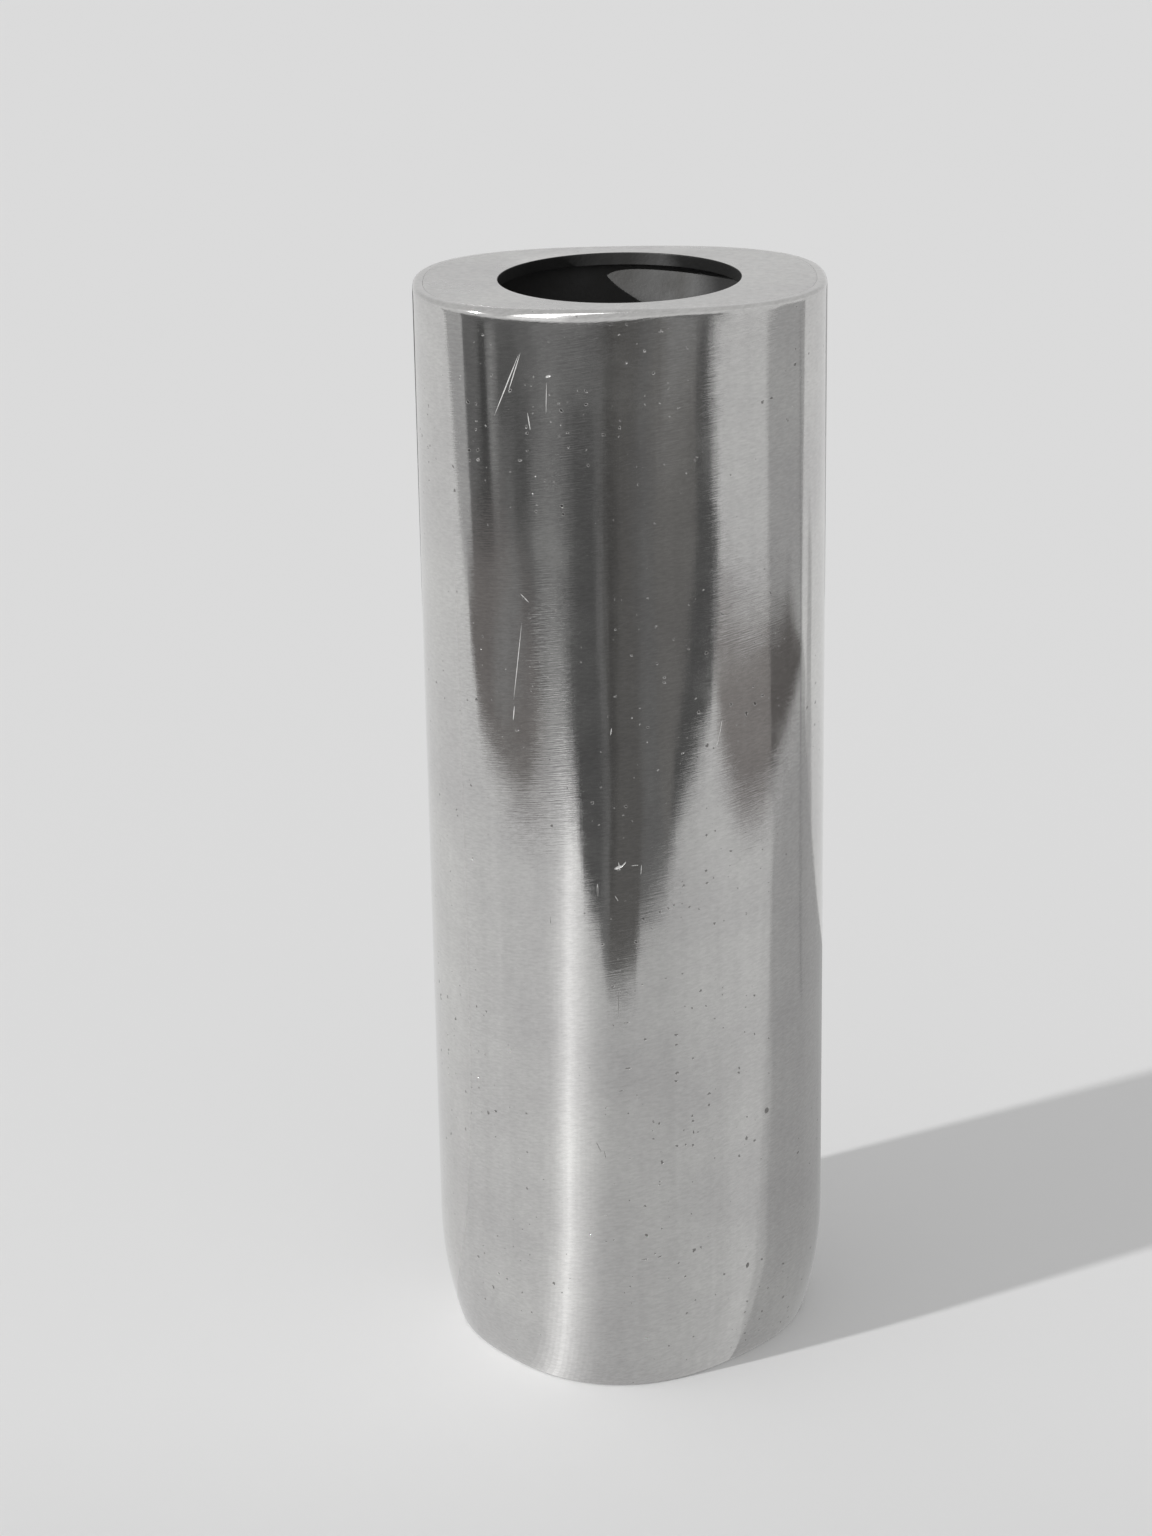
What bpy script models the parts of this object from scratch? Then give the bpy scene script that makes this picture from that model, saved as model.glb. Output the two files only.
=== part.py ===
"""Candle mould: a cast aluminium sleeve with a rim plate, standing on the plug that closes its foot.

The origin is the middle of the foot, on the surface that the mould stands on, and +Z is up.
"""
import math

import bmesh
import bpy

# Driving dimensions, in metres.
HEIGHT = 0.220
MOUTH_WIDTH = 0.0790
MOUTH_DEPTH = 0.0606
MOUTH_SQUARENESS = 2.58            # superellipse exponent: 2 is an ellipse, more is squarer
FOOT_WIDTH = 0.0775
FOOT_DEPTH = 0.0731
FOOT_SQUARENESS = 2.39
FOOT_TURN = math.radians(41)       # the foot's section stands a corner forward
TUCK_HEIGHT = 0.0246               # the outside is drawn in below this height
TUCK_INSET = 0.0038
EDGE_RADIUS = 0.0018               # rounded outer edge of the top
WALL = 0.0055
GAP = 0.0003                       # between pieces that touch

POUR_RADIUS = 0.02325
PLATE_THICKNESS = 0.0024
PLATE_SEAT_INSET = 0.0020          # wall left outside the rim plate
LIP_RADIUS = 0.0006

PLUG_HEIGHT = 0.0140
PLUG_CLEARANCE = 0.0005
SEAT_TAPER = 0.0006                # the foot's bore opens by this much over the plug's height
PLUG_CHAMFER = 0.0010
RECESS_RADIUS = 0.0105
RECESS_HEIGHT = 0.0095
SEAL_HEIGHT = 0.0085
SEAL_RADIUS = 0.0010
GROOVE_HALF_HEIGHT = 0.0013
GROOVE_DEPTH = 0.0023

THREAD_RADIUS = 0.0025             # M5
BUSH_RADIUS = 0.0050
FLANGE_RADIUS = 0.0070
FLANGE_THICKNESS = 0.0012
WASHER_THICKNESS = 0.0016
HEAD_RADIUS = 0.0065
HEAD_THICKNESS = 0.0036
HEAD_CHAMFER = 0.0005
SLOT_WIDTH = 0.0012
SLOT_DEPTH = 0.0012

POINT_GAP = 0.0010                 # from the screw's point to the plug's top
POINT_CHAMFER = 0.0005

SEGMENTS = 72                      # around the sleeve and the plug
TURNED_STEPS = 32                  # around the small turned pieces
MERGE = 0.00001                    # points closer than this become one
TUCK_STEPS = 5
SIDE_STEPS = 4
BORE_STEPS = 5
EDGE_STEPS = 4
LIP_STEPS = 3
SEAL_STEPS = 8


def superellipse(width, depth, squareness, turn, angle):
    """Distance from the centre to a superellipse's edge in the direction of angle."""
    across = abs(math.cos(angle - turn)) / (width / 2)
    along = abs(math.sin(angle - turn)) / (depth / 2)
    return (across ** squareness + along ** squareness) ** (-1 / squareness)


def straight_side(angle, z):
    """Outer radius without the tuck: a straight line from the foot's section to the mouth's."""
    mouth = superellipse(MOUTH_WIDTH, MOUTH_DEPTH, MOUTH_SQUARENESS, 0, angle)
    foot = superellipse(FOOT_WIDTH, FOOT_DEPTH, FOOT_SQUARENESS, FOOT_TURN, angle)
    return foot + (mouth - foot) * z / HEIGHT


def outside(inset=0.0):
    """Radius of the sleeve's outside, less an inset."""
    def radius(angle, z):
        below = max(0.0, 1 - z / TUCK_HEIGHT)
        return straight_side(angle, z) - TUCK_INSET * below ** 2 - inset
    return radius


def bore(inset=0.0):
    """Radius of the sleeve's bore, which opens a little towards the foot, less an inset."""
    def radius(angle, z):
        below = max(0.0, 1 - z / PLUG_HEIGHT)
        return straight_side(angle, z) - WALL + SEAT_TAPER * below - inset
    return radius


def circle(value):
    """A constant radius, in the form that a ring takes."""
    return lambda angle, z: value


def add_material(piece, colour, roughness, metallic):
    """The piece's own Principled material."""
    material = bpy.data.materials.new(piece.name)
    material.use_nodes = True
    shader = material.node_tree.nodes["Principled BSDF"]
    shader.inputs["Base Color"].default_value = (*colour, 1.0)
    shader.inputs["Roughness"].default_value = roughness
    shader.inputs["Metallic"].default_value = metallic
    piece.data.materials.append(material)


def place(name, mesh, body):
    """A new object for a mesh, on the empty of the body that it belongs to."""
    piece = bpy.data.objects.new(name, mesh)
    bpy.context.collection.objects.link(piece)
    piece.parent = body
    return piece


def loft(name, body, rings):
    """A closed tube of skin through rings of (height, radius), the last joined to the first."""
    shape = bmesh.new()
    loops = []
    for z, radius in rings:
        loop = []
        for step in range(SEGMENTS):
            angle = math.tau * step / SEGMENTS
            distance = radius(angle, z)
            loop.append(shape.verts.new((distance * math.cos(angle), distance * math.sin(angle), z)))
        loops.append(loop)
    for index, loop in enumerate(loops):
        following = loops[(index + 1) % len(loops)]
        for step in range(SEGMENTS):
            onward = (step + 1) % SEGMENTS
            shape.faces.new((loop[step], loop[onward], following[onward], following[step]))
    bmesh.ops.recalc_face_normals(shape, faces=shape.faces)
    mesh = bpy.data.meshes.new(name)
    shape.to_mesh(mesh)
    shape.free()
    mesh.shade_smooth()
    mesh.set_sharp_from_angle(angle=math.radians(35))
    return place(name, mesh, body)


def turned(name, body, profile, closed):
    """A turned piece: a profile of (radius, height) down its outer side, spun about the Z axis."""
    mesh = bpy.data.meshes.new(name)
    count = len(profile)
    edges = [(step, (step + 1) % count) for step in range(count if closed else count - 1)]
    mesh.from_pydata([(radius, 0.0, z) for radius, z in profile], edges, [])
    piece = place(name, mesh, body)
    spin = piece.modifiers.new("spin", "SCREW")
    spin.axis = "Z"
    spin.steps = TURNED_STEPS
    spin.render_steps = TURNED_STEPS
    spin.use_merge_vertices = True
    spin.merge_threshold = MERGE
    spin.use_smooth_shade = True
    return piece


def empty(name, parent=None):
    """The parent of one body's pieces, on its joint's axis."""
    body = bpy.data.objects.new(name, None)
    bpy.context.collection.objects.link(body)
    body.parent = parent
    return body


def sleeve_rings():
    """Up the outside, over the rounded edge, into the plate's seat and down the bore."""
    heights = [TUCK_HEIGHT * step / TUCK_STEPS for step in range(TUCK_STEPS + 1)]
    straight = HEIGHT - EDGE_RADIUS - TUCK_HEIGHT
    heights += [TUCK_HEIGHT + straight * step / SIDE_STEPS for step in range(1, SIDE_STEPS)]
    rings = [(z, outside()) for z in heights]
    for step in range(EDGE_STEPS + 1):
        turn = math.pi / 2 * step / EDGE_STEPS
        z = HEIGHT - EDGE_RADIUS * (1 - math.sin(turn))
        rings.append((z, outside(EDGE_RADIUS * (1 - math.cos(turn)))))
    seat = HEIGHT - PLATE_THICKNESS - GAP
    rings.append((HEIGHT, outside(PLATE_SEAT_INSET)))
    rings.append((seat, outside(PLATE_SEAT_INSET)))
    rings.append((seat, bore()))
    depth = seat - PLUG_HEIGHT
    rings += [(seat - depth * step / BORE_STEPS, bore()) for step in range(1, BORE_STEPS + 1)]
    rings.append((0.0, bore()))
    return rings


def rim_plate_rings():
    """Up the plate's outer edge, across its top, over the lip and down the pouring opening."""
    low = HEIGHT - PLATE_THICKNESS
    edge = outside(PLATE_SEAT_INSET + GAP)
    rings = [(low, edge), (HEIGHT, edge)]
    for step in range(LIP_STEPS + 1):
        turn = math.pi / 2 * step / LIP_STEPS
        z = HEIGHT - LIP_RADIUS * (1 - math.cos(turn))
        rings.append((z, circle(POUR_RADIUS + LIP_RADIUS * (1 - math.sin(turn)))))
    rings.append((low, circle(POUR_RADIUS)))
    return rings


def plug_rings():
    """Up the plug's side and its seal groove, over the top, and down the bush's hole."""
    side = bore(PLUG_CLEARANCE)
    groove = bore(PLUG_CLEARANCE + GROOVE_DEPTH)
    return [
        (0.0, side),
        (SEAL_HEIGHT - GROOVE_HALF_HEIGHT, side),
        (SEAL_HEIGHT - GROOVE_HALF_HEIGHT, groove),
        (SEAL_HEIGHT + GROOVE_HALF_HEIGHT, groove),
        (SEAL_HEIGHT + GROOVE_HALF_HEIGHT, side),
        (PLUG_HEIGHT - PLUG_CHAMFER, side),
        (PLUG_HEIGHT, bore(PLUG_CLEARANCE + PLUG_CHAMFER)),
        (PLUG_HEIGHT, circle(BUSH_RADIUS + GAP)),
        (RECESS_HEIGHT, circle(BUSH_RADIUS + GAP)),
        (RECESS_HEIGHT, circle(RECESS_RADIUS)),
        (0.0, circle(RECESS_RADIUS)),
    ]


def seal_rings():
    """A round section, carried around the plug in its groove."""
    inset = GAP + SEAL_RADIUS
    rings = []
    for step in range(SEAL_STEPS):
        turn = math.tau * step / SEAL_STEPS
        z = SEAL_HEIGHT + SEAL_RADIUS * math.sin(turn)
        rings.append((z, bore(inset - SEAL_RADIUS * math.cos(turn))))
    return rings


def wick_bush_profile():
    """The bush's barrel through the plug, with its flange against the recess."""
    hole = THREAD_RADIUS + GAP
    top = PLUG_HEIGHT
    flange_top = RECESS_HEIGHT - GAP
    flange_low = flange_top - FLANGE_THICKNESS
    return [
        (hole, top), (BUSH_RADIUS, top), (BUSH_RADIUS, flange_top),
        (FLANGE_RADIUS, flange_top), (FLANGE_RADIUS, flange_low), (hole, flange_low),
    ]


def washer_top():
    """Height of the washer's upper face, a gap below the bush's flange."""
    return RECESS_HEIGHT - FLANGE_THICKNESS - 2 * GAP


def wick_washer_profile():
    """A flat washer with rounded-off outer corners."""
    top = washer_top()
    low = top - WASHER_THICKNESS
    corner = WASHER_THICKNESS / 4
    hole = THREAD_RADIUS + GAP
    return [
        (hole, top), (HEAD_RADIUS - corner, top), (HEAD_RADIUS, top - corner),
        (HEAD_RADIUS, low + corner), (HEAD_RADIUS - corner, low), (hole, low),
    ]


def wick_screw_profile():
    """The shank's point, down to the head and across its underside."""
    point = PLUG_HEIGHT - POINT_GAP
    head_top = washer_top() - WASHER_THICKNESS - GAP
    head_low = head_top - HEAD_THICKNESS
    return [
        (0.0, point), (THREAD_RADIUS - POINT_CHAMFER, point),
        (THREAD_RADIUS, point - POINT_CHAMFER),
        (THREAD_RADIUS, head_top), (HEAD_RADIUS - HEAD_CHAMFER, head_top),
        (HEAD_RADIUS, head_top - HEAD_CHAMFER), (HEAD_RADIUS, head_low + HEAD_CHAMFER),
        (HEAD_RADIUS - HEAD_CHAMFER, head_low), (0.0, head_low),
    ]


def cut_slot(screw):
    """A screwdriver slot across the underside of the head."""
    head_low = washer_top() - WASHER_THICKNESS - GAP - HEAD_THICKNESS
    shape = bmesh.new()
    bmesh.ops.create_cube(shape, size=1.0)
    size = (4 * HEAD_RADIUS, SLOT_WIDTH, 2 * SLOT_DEPTH)
    bmesh.ops.scale(shape, vec=size, verts=shape.verts)
    bmesh.ops.translate(shape, vec=(0.0, 0.0, head_low), verts=shape.verts)
    mesh = bpy.data.meshes.new("slot_cutter")
    shape.to_mesh(mesh)
    shape.free()
    cutter = place("slot_cutter", mesh, screw.parent)
    cutter.hide_render = True
    cutter.display_type = "WIRE"
    slot = screw.modifiers.new("slot", "BOOLEAN")
    slot.operation = "DIFFERENCE"
    slot.solver = "EXACT"
    slot.object = cutter


def build():
    """Model every piece of the mould."""
    for item in list(bpy.data.objects):
        bpy.data.objects.remove(item, do_unlink=True)

    base = empty("base")
    sleeve = empty("sleeve", base)
    washer = empty("washer", base)
    screw = empty("screw", washer)

    aluminium = (0.72, 0.72, 0.73)
    brass = (0.75, 0.58, 0.30)
    silicone = (0.45, 0.09, 0.06)

    add_material(loft("body_sleeve", sleeve, sleeve_rings()), aluminium, 0.25, 1.0)
    add_material(loft("rim_plate", sleeve, rim_plate_rings()), aluminium, 0.35, 1.0)
    add_material(loft("base_plug", base, plug_rings()), aluminium, 0.45, 1.0)
    add_material(loft("base_seal", base, seal_rings()), silicone, 0.6, 0.0)
    add_material(turned("wick_bush", base, wick_bush_profile(), True), brass, 0.35, 1.0)
    add_material(turned("wick_washer", washer, wick_washer_profile(), True), silicone, 0.6, 0.0)
    wick_screw = turned("wick_screw", screw, wick_screw_profile(), False)
    cut_slot(wick_screw)
    add_material(wick_screw, brass, 0.35, 1.0)


build()
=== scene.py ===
import math

import bmesh
import bpy
from mathutils import Matrix, Vector


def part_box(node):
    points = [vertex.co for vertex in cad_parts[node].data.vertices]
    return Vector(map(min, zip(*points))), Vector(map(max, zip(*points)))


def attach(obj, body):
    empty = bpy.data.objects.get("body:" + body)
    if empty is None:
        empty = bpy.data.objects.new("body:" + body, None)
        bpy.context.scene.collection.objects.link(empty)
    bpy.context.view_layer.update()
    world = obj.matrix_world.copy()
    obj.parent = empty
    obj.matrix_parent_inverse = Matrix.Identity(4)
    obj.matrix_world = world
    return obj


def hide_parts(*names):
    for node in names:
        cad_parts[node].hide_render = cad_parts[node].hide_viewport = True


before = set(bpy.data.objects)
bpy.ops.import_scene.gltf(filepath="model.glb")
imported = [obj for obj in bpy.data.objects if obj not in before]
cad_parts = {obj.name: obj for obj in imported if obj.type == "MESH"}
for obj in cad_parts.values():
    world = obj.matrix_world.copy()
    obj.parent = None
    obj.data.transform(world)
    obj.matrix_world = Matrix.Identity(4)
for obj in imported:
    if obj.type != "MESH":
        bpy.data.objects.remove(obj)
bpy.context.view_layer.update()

# ---------------------------------------------------------------------------------------------
# Body sleeve: one aluminium casting, oval at the mouth and a rounded square at the foot, where
# its outside is drawn in to a thin edge. It was linished round and round, then polished to a
# satin sheen that still shows casting pits, strokes of the belt and a few scratches.
# ---------------------------------------------------------------------------------------------
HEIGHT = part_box("body_sleeve")[1][2]
MOUTH_WIDTH = 0.0790
MOUTH_DEPTH = 0.0606
MOUTH_SQUARENESS = 2.58
FOOT_WIDTH = 0.0775
FOOT_DEPTH = 0.0731
FOOT_SQUARENESS = 2.39
FOOT_TURN = math.radians(41)
FOOT_EASED = 0.0004
TUCK_HEIGHT = 0.0246
TUCK_INSET = 0.0038
TOP_MARGIN = 0.0030                # the plain side stops this far below the top
SHARP_EDGE = 0.0008                # the top's outer edge, less rounded over at the right
ROUND_EDGE = 0.0018                # and most rounded over at the front left
ROUND_TOWARDS = math.radians(-112)
ROUND_SPREAD = math.radians(30)
WALL = 0.0055
PLATE_THICKNESS = 0.0024
PLATE_SEAT_INSET = 0.0020
PLATE_GAP = 0.0003
PLUG_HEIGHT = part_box("base_plug")[1][2]
SEAT_TAPER = 0.0006
CAGE_SEGMENTS = 64
TUCK_STEPS = 6
SIDE_STEPS = 6
BORE_STEPS = 5
QUARTER_STEPS = 4                  # in a rounded edge's quarter turn


def superellipse(width, depth, squareness, turn, angle):
    """Distance from the axis to a rounded oval's edge in the direction of angle."""
    across = abs(math.cos(angle - turn)) / (width / 2)
    along = abs(math.sin(angle - turn)) / (depth / 2)
    return (across ** squareness + along ** squareness) ** (-1 / squareness)


def straight_side(angle, z):
    """The sleeve's outside without its tuck."""
    mouth = superellipse(MOUTH_WIDTH, MOUTH_DEPTH, MOUTH_SQUARENESS, 0, angle)
    foot = superellipse(FOOT_WIDTH, FOOT_DEPTH, FOOT_SQUARENESS, FOOT_TURN, angle)
    return foot + (mouth - foot) * z / HEIGHT


def outside(inset=0.0):
    """Radius of the sleeve's outside, less an inset."""
    def radius(angle, z):
        below = max(0.0, 1 - z / TUCK_HEIGHT)
        return straight_side(angle, z) - TUCK_INSET * below ** 2 - inset
    return radius


def bore(inset=0.0):
    """Radius of the sleeve's bore, which opens a little towards the foot, less an inset."""
    def radius(angle, z):
        below = max(0.0, 1 - z / PLUG_HEIGHT)
        return straight_side(angle, z) - WALL + SEAT_TAPER * below - inset
    return radius


def circle(value):
    """A constant radius, in the form that a ring takes."""
    return lambda angle, z: value


def loft(name, rings, edge_width, subdivisions, segments=CAGE_SEGMENTS, solid=False):
    """A coarse cage through rings of (height, radius), with bevelled and smoothed edges.

    A height is a number, or a function of the angle. The last ring joins the first, as a
    tube's wall does, or a solid piece is capped at both.
    """
    shape = bmesh.new()
    loops = []
    for z, radius in rings:
        loop = []
        for step in range(segments):
            angle = math.tau * step / segments
            height = z(angle) if callable(z) else z
            reach = radius(angle, height)
            loop.append(shape.verts.new(
                (reach * math.cos(angle), reach * math.sin(angle), height)))
        loops.append(loop)
    for index, loop in enumerate(loops[:-1] if solid else loops):
        following = loops[(index + 1) % len(loops)]
        for step in range(segments):
            onward = (step + 1) % segments
            shape.faces.new((loop[step], loop[onward], following[onward], following[step]))
    if solid:
        shape.faces.new(loops[0])
        shape.faces.new(loops[-1])
    bmesh.ops.recalc_face_normals(shape, faces=shape.faces)
    mesh = bpy.data.meshes.new(name)
    shape.to_mesh(mesh)
    shape.free()
    mesh.shade_smooth()
    piece = bpy.data.objects.new(name, mesh)
    bpy.context.collection.objects.link(piece)
    if edge_width:
        edge = piece.modifiers.new("broken edge", "BEVEL")
        edge.limit_method = "ANGLE"
        edge.angle_limit = math.radians(40)
        edge.width = edge_width
        edge.segments = 2
    if subdivisions:
        smooth = piece.modifiers.new("fair surface", "SUBSURF")
        smooth.levels = subdivisions
        smooth.render_levels = subdivisions
    return piece


def edge_radius(angle):
    """Radius of the top's outer edge, in the direction of angle."""
    away = (angle - ROUND_TOWARDS + math.pi) % math.tau - math.pi
    return SHARP_EDGE + (ROUND_EDGE - SHARP_EDGE) * math.exp(-(away / ROUND_SPREAD) ** 2)


def edge_ring(turn):
    """The ring at a turn of the rounded edge: 0 is where it leaves the side."""
    def height(angle):
        return HEIGHT - edge_radius(angle) * (1 - math.sin(turn))

    def radius(angle, z):
        return straight_side(angle, z) - edge_radius(angle) * (1 - math.cos(turn))
    return height, radius


tuck_rings = [(0.0, outside(FOOT_EASED)), (FOOT_EASED, outside())]
tuck_rings += [(TUCK_HEIGHT * step / TUCK_STEPS, outside()) for step in range(1, TUCK_STEPS + 1)]
side_run = HEIGHT - TOP_MARGIN - TUCK_HEIGHT
side_rings = [(TUCK_HEIGHT + side_run * step / SIDE_STEPS, outside())
              for step in range(1, SIDE_STEPS + 1)]
edge_rings = [edge_ring(math.pi / 2 * step / QUARTER_STEPS) for step in range(QUARTER_STEPS + 1)]
seat_z = HEIGHT - PLATE_THICKNESS - PLATE_GAP
seat_rings = [(HEIGHT, outside(PLATE_SEAT_INSET)), (seat_z, outside(PLATE_SEAT_INSET))]
bore_run = seat_z - PLUG_HEIGHT
bore_rings = [(seat_z - bore_run * step / BORE_STEPS, bore()) for step in range(BORE_STEPS + 1)]
bore_rings.append((0.0, bore()))
sleeve_rings = tuck_rings + side_rings + edge_rings + seat_rings + bore_rings
sleeve = loft("cast_sleeve", sleeve_rings, edge_width=0.00003, subdivisions=2)


def bare_material(name):
    """A new material and its empty node tree."""
    material = bpy.data.materials.new(name)
    material.use_nodes = True
    material.node_tree.nodes.clear()
    return material, material.node_tree


def satin_aluminium(name, tone, low_rough, high_rough, stroke, stroke_depth, pits, stains,
                    facets, scratches):
    """Polished cast aluminium: belt strokes, cloudy sheen, run marks, pits and scratches.

    stroke is the Mapping scale that draws noise out into belt or file strokes, pits is the
    share of casting pits that are open, stains is how strongly the run marks show, facets is
    the depth of the upright flats that the belt left, and scratches are (middle, length, lean,
    width), each a long thin spindle across the surface. Low on the casting they hold grime. On
    its front there is a porous zone low down, and a zone of coarser strokes at the left.
    """
    material, tree = bare_material(name)
    output = tree.nodes.new("ShaderNodeOutputMaterial")
    output.label = "aluminium surface"
    shader = tree.nodes.new("ShaderNodeBsdfPrincipled")
    shader.label = "polished aluminium"
    place = tree.nodes.new("ShaderNodeTexCoord")
    place.label = "place on the casting"

    # Colour: cloudy tone, upright run marks from the polish, dark pits and fine grain.
    colour_frame = tree.nodes.new("NodeFrame")
    colour_frame.label = "tone, run marks and pits"
    cloud = tree.nodes.new("ShaderNodeTexNoise")
    cloud.label = "cloudy oxide"
    cloud_tone = tree.nodes.new("ShaderNodeValToRGB")
    cloud_tone.label = "oxide tone"
    cloud_tone.color_ramp.elements[0].position = 0.30
    cloud_tone.color_ramp.elements[0].color = (tone * 0.870, tone * 0.858, tone * 0.852, 1)
    cloud_tone.color_ramp.elements[1].position = 0.70
    cloud_tone.color_ramp.elements[1].color = (tone * 1.02, tone * 1.015, tone * 0.992, 1)
    run_map = tree.nodes.new("ShaderNodeMapping")
    run_map.label = "drawn out upright"
    run = tree.nodes.new("ShaderNodeTexNoise")
    run.label = "polish run marks"
    run_tone = tree.nodes.new("ShaderNodeMapRange")
    run_tone.label = "run mark depth"
    runs_over = tree.nodes.new("ShaderNodeMix")
    runs_over.label = "runs over tone"
    runs_over.data_type = "RGBA"
    runs_over.blend_type = "MULTIPLY"
    pit_cells = tree.nodes.new("ShaderNodeTexVoronoi")
    pit_cells.label = "casting pits"
    pit_warp = tree.nodes.new("ShaderNodeTexNoise")
    pit_warp.label = "ragged pit edges"
    pit_bend = tree.nodes.new("ShaderNodeVectorMath")
    pit_bend.label = "push the edges about"
    pit_bend.operation = "MULTIPLY_ADD"
    pit_patch = tree.nodes.new("ShaderNodeTexNoise")
    pit_patch.label = "porous patches"
    porous_map = tree.nodes.new("ShaderNodeMapping")
    porous_map.label = "porous zone low on the front"
    porous_map.vector_type = "TEXTURE"
    porous = tree.nodes.new("ShaderNodeVectorMath")
    porous.label = "distance from the zone"
    porous.operation = "LENGTH"
    porous_share = tree.nodes.new("ShaderNodeMapRange")
    porous_share.label = "more pits in the zone"
    patch_sum = tree.nodes.new("ShaderNodeMath")
    patch_sum.label = "patches and zone"
    patch_sum.operation = "ADD"
    pit_share = tree.nodes.new("ShaderNodeMapRange")
    pit_share.label = "pits gather in the patches"
    pit_gather = tree.nodes.new("ShaderNodeMath")
    pit_gather.label = "size in the patch"
    pit_gather.operation = "MULTIPLY"
    pit_pick = tree.nodes.new("ShaderNodeSeparateColor")
    pit_pick.label = "one number for each pit"
    pit_size = tree.nodes.new("ShaderNodeMapRange")
    pit_size.label = "few are open, and few are big"
    pit_depth = tree.nodes.new("ShaderNodeMath")
    pit_depth.label = "inside a pit"
    pit_depth.operation = "SUBTRACT"
    pit_mask = tree.nodes.new("ShaderNodeMapRange")
    pit_mask.label = "pit with a soft edge"
    pits_over = tree.nodes.new("ShaderNodeMix")
    pits_over.label = "dark in the pits"
    pits_over.data_type = "RGBA"
    grain_map = tree.nodes.new("ShaderNodeMapping")
    grain_map.label = "short specks along the belt"
    grain = tree.nodes.new("ShaderNodeTexNoise")
    grain.label = "grain of the metal"
    grain_tone = tree.nodes.new("ShaderNodeMapRange")
    grain_tone.label = "grain contrast"
    grain_over = tree.nodes.new("ShaderNodeMix")
    grain_over.label = "grain over tone"
    grain_over.data_type = "RGBA"
    grain_over.blend_type = "MULTIPLY"

    # Sheen: blotches that the polish missed are duller.
    sheen_frame = tree.nodes.new("NodeFrame")
    sheen_frame.label = "uneven sheen"
    blotch = tree.nodes.new("ShaderNodeTexNoise")
    blotch.label = "uneven polish"
    sheen = tree.nodes.new("ShaderNodeMapRange")
    sheen.label = "roughness"
    sheen_cut = tree.nodes.new("ShaderNodeMix")
    sheen_cut.label = "scratches scatter the light"

    # Deep scratches, each found by its distance from a spindle.
    scratch_frame = tree.nodes.new("NodeFrame")
    scratch_frame.label = "deep scratches"
    nearest = None
    scratch_nodes = []
    for number, (middle, length, lean, width) in enumerate(scratches, 1):
        spindle = tree.nodes.new("ShaderNodeMapping")
        spindle.label = "scratch %d's place and size" % number
        spindle.vector_type = "TEXTURE"
        spindle.inputs["Location"].default_value = middle
        spindle.inputs["Rotation"].default_value = (0, math.radians(lean), 0)
        spindle.inputs["Scale"].default_value = (width / 2, 0.02, length / 2)
        away = tree.nodes.new("ShaderNodeVectorMath")
        away.label = "distance from scratch %d" % number
        away.operation = "LENGTH"
        tree.links.new(place.outputs["Object"], spindle.inputs["Vector"])
        tree.links.new(spindle.outputs["Vector"], away.inputs[0])
        scratch_nodes += [spindle, away]
        if nearest is None:
            nearest = away.outputs["Value"]
        else:
            closer = tree.nodes.new("ShaderNodeMath")
            closer.label = "nearest so far"
            closer.operation = "MINIMUM"
            tree.links.new(nearest, closer.inputs[0])
            tree.links.new(away.outputs["Value"], closer.inputs[1])
            nearest = closer.outputs["Value"]
            scratch_nodes.append(closer)
    cut = tree.nodes.new("ShaderNodeMapRange")
    cut.label = "inside a scratch"
    if nearest is not None:
        tree.links.new(nearest, cut.inputs["Value"])
    low_down = tree.nodes.new("ShaderNodeSeparateXYZ")
    low_down.label = "how high on the casting"
    grimy = tree.nodes.new("ShaderNodeMapRange")
    grimy.label = "scratches low down hold grime"
    grimy_cut = tree.nodes.new("ShaderNodeMath")
    grimy_cut.label = "grime in a scratch"
    grimy_cut.operation = "MULTIPLY"
    dark_marks = tree.nodes.new("ShaderNodeMath")
    dark_marks.label = "pits and grimy scratches"
    dark_marks.operation = "MAXIMUM"
    cut_bump = tree.nodes.new("ShaderNodeBump")
    cut_bump.label = "scratch depth"
    cut_bump.invert = True
    for node in (*scratch_nodes, cut, low_down, grimy, grimy_cut, dark_marks, cut_bump):
        node.parent = scratch_frame

    # Relief: strokes of the belt, orange peel of the casting, hair scratches and the pits.
    relief_frame = tree.nodes.new("NodeFrame")
    relief_frame.label = "strokes, scratches and pits in relief"
    climb = tree.nodes.new("ShaderNodeMapping")
    climb.label = "strokes climb to the right"
    stroke_patch = tree.nodes.new("ShaderNodeMapRange")
    stroke_patch.label = "strokes come and go"
    rough_map = tree.nodes.new("ShaderNodeMapping")
    rough_map.label = "coarser strokes on the front left"
    rough_map.vector_type = "TEXTURE"
    rough_away = tree.nodes.new("ShaderNodeVectorMath")
    rough_away.label = "distance from the coarse zone"
    rough_away.operation = "LENGTH"
    rough_gain = tree.nodes.new("ShaderNodeMapRange")
    rough_gain.label = "how coarse"
    stroke_height = tree.nodes.new("ShaderNodeMath")
    stroke_height.label = "stroke height"
    stroke_height.operation = "MULTIPLY"
    stroke_map = tree.nodes.new("ShaderNodeMapping")
    stroke_map.label = "drawn out along the belt"
    strokes = tree.nodes.new("ShaderNodeTexNoise")
    strokes.label = "belt strokes"
    stroke_bump = tree.nodes.new("ShaderNodeBump")
    stroke_bump.label = "stroke relief"
    facet_map = tree.nodes.new("ShaderNodeMapping")
    facet_map.label = "upright flats"
    facet = tree.nodes.new("ShaderNodeTexNoise")
    facet.label = "flats left by the belt"
    facet_bump = tree.nodes.new("ShaderNodeBump")
    facet_bump.label = "flat relief"
    peel = tree.nodes.new("ShaderNodeTexNoise")
    peel.label = "casting unevenness"
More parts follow.
